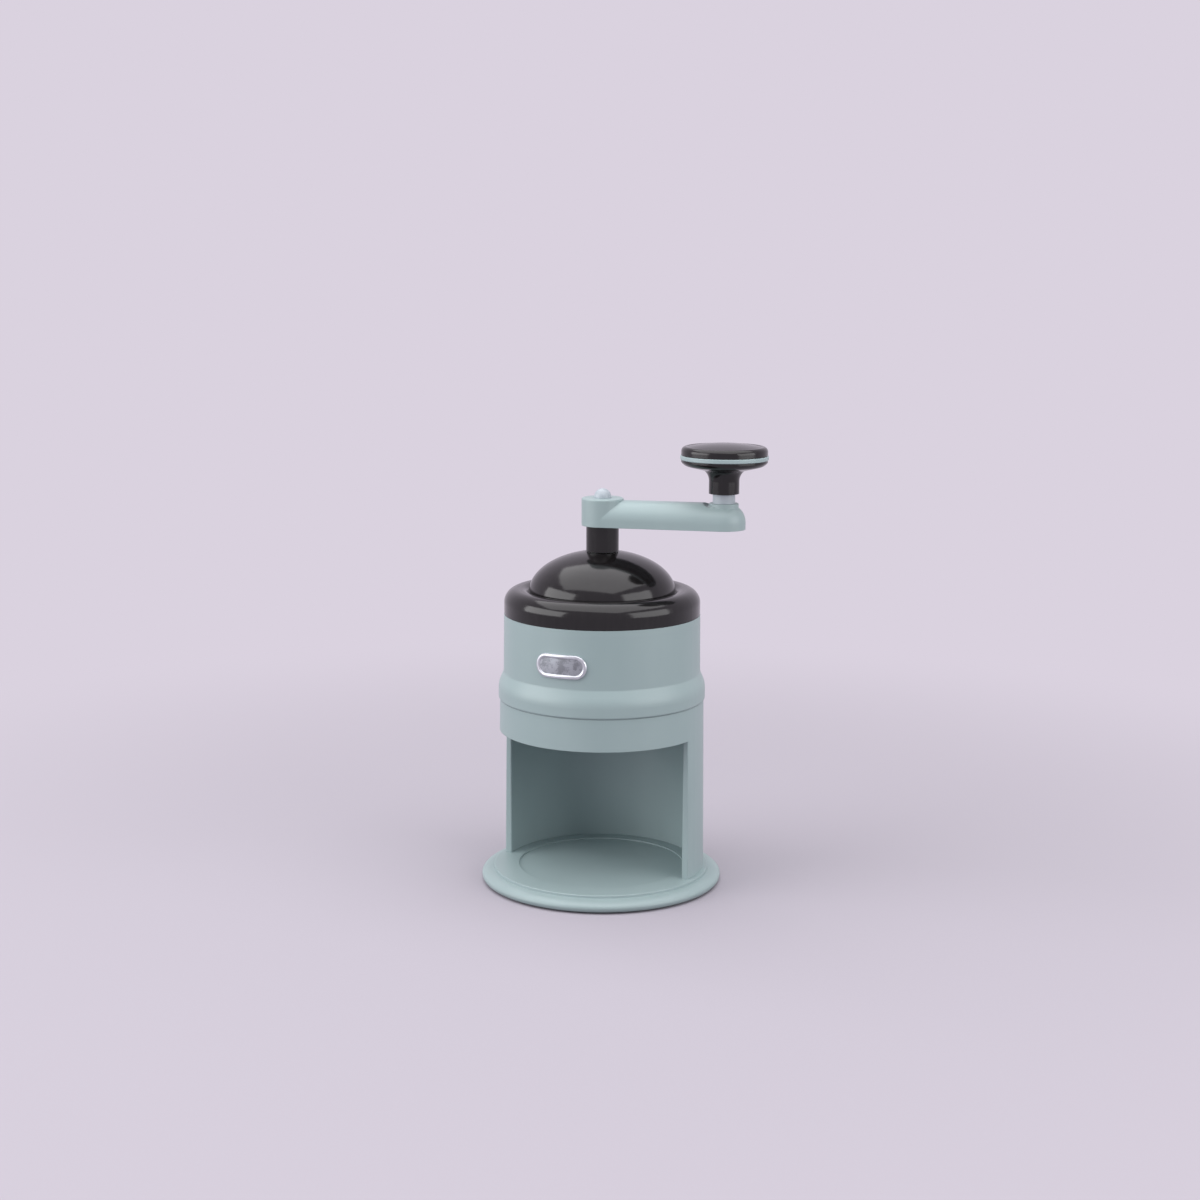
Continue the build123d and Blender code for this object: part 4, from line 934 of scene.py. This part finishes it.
@dataclass
class Studio:
    """A pale paper floor, the room's light, soft boxes and the camera of the picture."""

    paper: Colour = field(default_factory=lambda: linear(218, 210, 223))
    room_glow: float = 0.27
    room_tint: Colour = (0.95, 0.97, 1.0)
    floor_share: float = 0.68  # the floor's own colour against the paper's, as the lamps light it
    floor_side: float = 12.0
    dull_share: float = 0.36  # the floor's colour in the light it throws back on the shaver
    fibre_share: float = 0.985  # the fibres' colour against the floor's
    glow_radii: tuple[float, float] = (0.16, 0.75)  # where its glow starts, and is full
    camera_spot: Triple = (0.5137, -1.0533, 0.3802)
    camera_turn: float = 26.064
    camera_tip: float = 79.91
    camera_roll: float = 0.2475
    lens: float = 59.8
    sensor: float = 36.0
    far_clip: float = 50.0
    boxes: tuple[SoftBox, ...] = (
        SoftBox("box_top", (0.0, -0.2, 1.5), (0.0, -0.15, 0.15), 2.5, 2.1, 1.95),
        SoftBox("box_left", (-1.3, -1.2, 0.6), (0, 0, 0.15), 1.9, 1.1, 3.4),
        SoftBox("box_right", (1.7, -0.15, 0.6), (0, 0, 0.15), 1.6, 1.1, 2.6),
    )

    def lay_paper(self) -> None:
        """Makes the floor that the shaver stands on."""
        clear_selection()
        bpy.ops.mesh.primitive_plane_add(size=1.0, location=(0, 0, 0))
        floor = bpy.context.active_object
        floor.name = "paper_floor"
        bpy.ops.object.mode_set(mode="EDIT")
        bpy.ops.mesh.select_all(action="SELECT")
        bpy.ops.transform.resize(value=(self.floor_side, self.floor_side, 1))
        bpy.ops.mesh.subdivide(number_cuts=3)
        bpy.ops.object.mode_set(mode="OBJECT")
        floor.data.materials.append(self._paper_material())

    def _paper_material(self) -> bpy.types.Material:
        """Matt paper that keeps the shadow, and glows evenly where it runs out of the light.

        Returns:
            The finished material.
        """
        bench = Bench("paper")
        fibre = bench.noise(700.0, 3.0)
        shown = bench.direct_rays()
        split = bench.add("ShaderNodeSeparateXYZ", {}, {"Vector": bench.place})
        east, north = Signal(bench, split.outputs[0]), Signal(bench, split.outputs[1])
        away = (east * east + north * north).root().smooth(*self.glow_radii)
        dull = tuple(channel * self.dull_share for channel in self.paper)
        lit = tuple(channel * self.floor_share for channel in self.paper)
        threads = tuple(channel * self.fibre_share for channel in lit)
        pale = bench.mix(fibre.smooth(0.3, 0.7), lit, threads)
        bench.set(Base_Color=bench.mix(shown, dull, pale), Roughness=0.9, Specular_IOR_Level=0.1)
        bench.bump(fibre, 0.00002, 0.3)
        glow = bench.add("ShaderNodeEmission", {}, {"Color": self.paper, "Strength": 1.0})
        blend = bench.add(
            "ShaderNodeMixShader", {},
            {0: away * shown, 1: bench.shader.outputs[0], 2: glow.outputs[0]},
        )
        bench.feed(bench.output.inputs["Surface"], blend.outputs[0])
        return bench.material

    def light(self) -> None:
        """Hangs the soft boxes and sets the room's own light."""
        world = bpy.data.worlds.new("room")
        bpy.context.scene.world = world
        world.use_nodes = True
        desk = Desk(world.node_tree)
        seen = desk.add("ShaderNodeBackground", {}, {"Color": self.paper, "Strength": 1.0})
        cast = desk.add(
            "ShaderNodeBackground", {}, {"Color": self.room_tint, "Strength": self.room_glow}
        )
        blend = desk.add(
            "ShaderNodeMixShader", {},
            {0: desk.direct_rays(), 1: cast.outputs[0], 2: seen.outputs[0]},
        )
        desk.add("ShaderNodeOutputWorld", {}, {"Surface": blend.outputs[0]})
        for box in self.boxes:
            self._hang(box)

    def _hang(self, box: SoftBox) -> None:
        """Hangs one soft box.

        Args:
            box: The box to hang.
        """
        lamp = bpy.data.lights.new(box.name, "AREA")
        lamp.shape = "RECTANGLE"
        lamp.size = box.width
        lamp.size_y = box.height
        lamp.energy = box.power()
        holder = bpy.data.objects.new(box.name, lamp)
        holder.location = box.spot
        aim = Vector(box.target) - Vector(box.spot)
        holder.rotation_euler = aim.to_track_quat("-Z", "Y").to_euler()
        bpy.context.scene.collection.objects.link(holder)
        log.info("%s: %.1f W", box.name, lamp.energy)

    def place_camera(self) -> None:
        """Sets the camera where the picture was taken from."""
        camera = bpy.data.cameras.new("picture_camera")
        camera.sensor_width = self.sensor
        camera.sensor_fit = "HORIZONTAL"
        camera.lens = self.lens
        camera.clip_end = self.far_clip
        holder = bpy.data.objects.new("picture_camera", camera)
        turn = Matrix.Rotation(math.radians(self.camera_turn), 4, "Z")
        tip = Matrix.Rotation(math.radians(self.camera_tip), 4, "X")
        roll = Matrix.Rotation(math.radians(self.camera_roll), 4, "Z")
        holder.matrix_world = Matrix.Translation(Vector(self.camera_spot)) @ turn @ tip @ roll
        bpy.context.scene.collection.objects.link(holder)
        bpy.context.scene.camera = holder

    def set_view(self) -> None:
        """Keeps colours as they are written."""
        bpy.context.scene.view_settings.view_transform = "Standard"


def main() -> None:
    """Loads the frame, dresses it, lights it and reports."""
    logging.basicConfig(level=logging.INFO, format="%(message)s")
    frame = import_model()
    shelf = FinishShelf()
    shelf.stock()
    shelf.dress_nodes(frame)
    Badge(shelf).build()
    ScrewBox(shelf).build()
    PresserSpring(shelf).build()
    studio = Studio()
    studio.lay_paper()
    studio.light()
    studio.place_camera()
    studio.set_view()


if __name__ == "__main__":
    main()
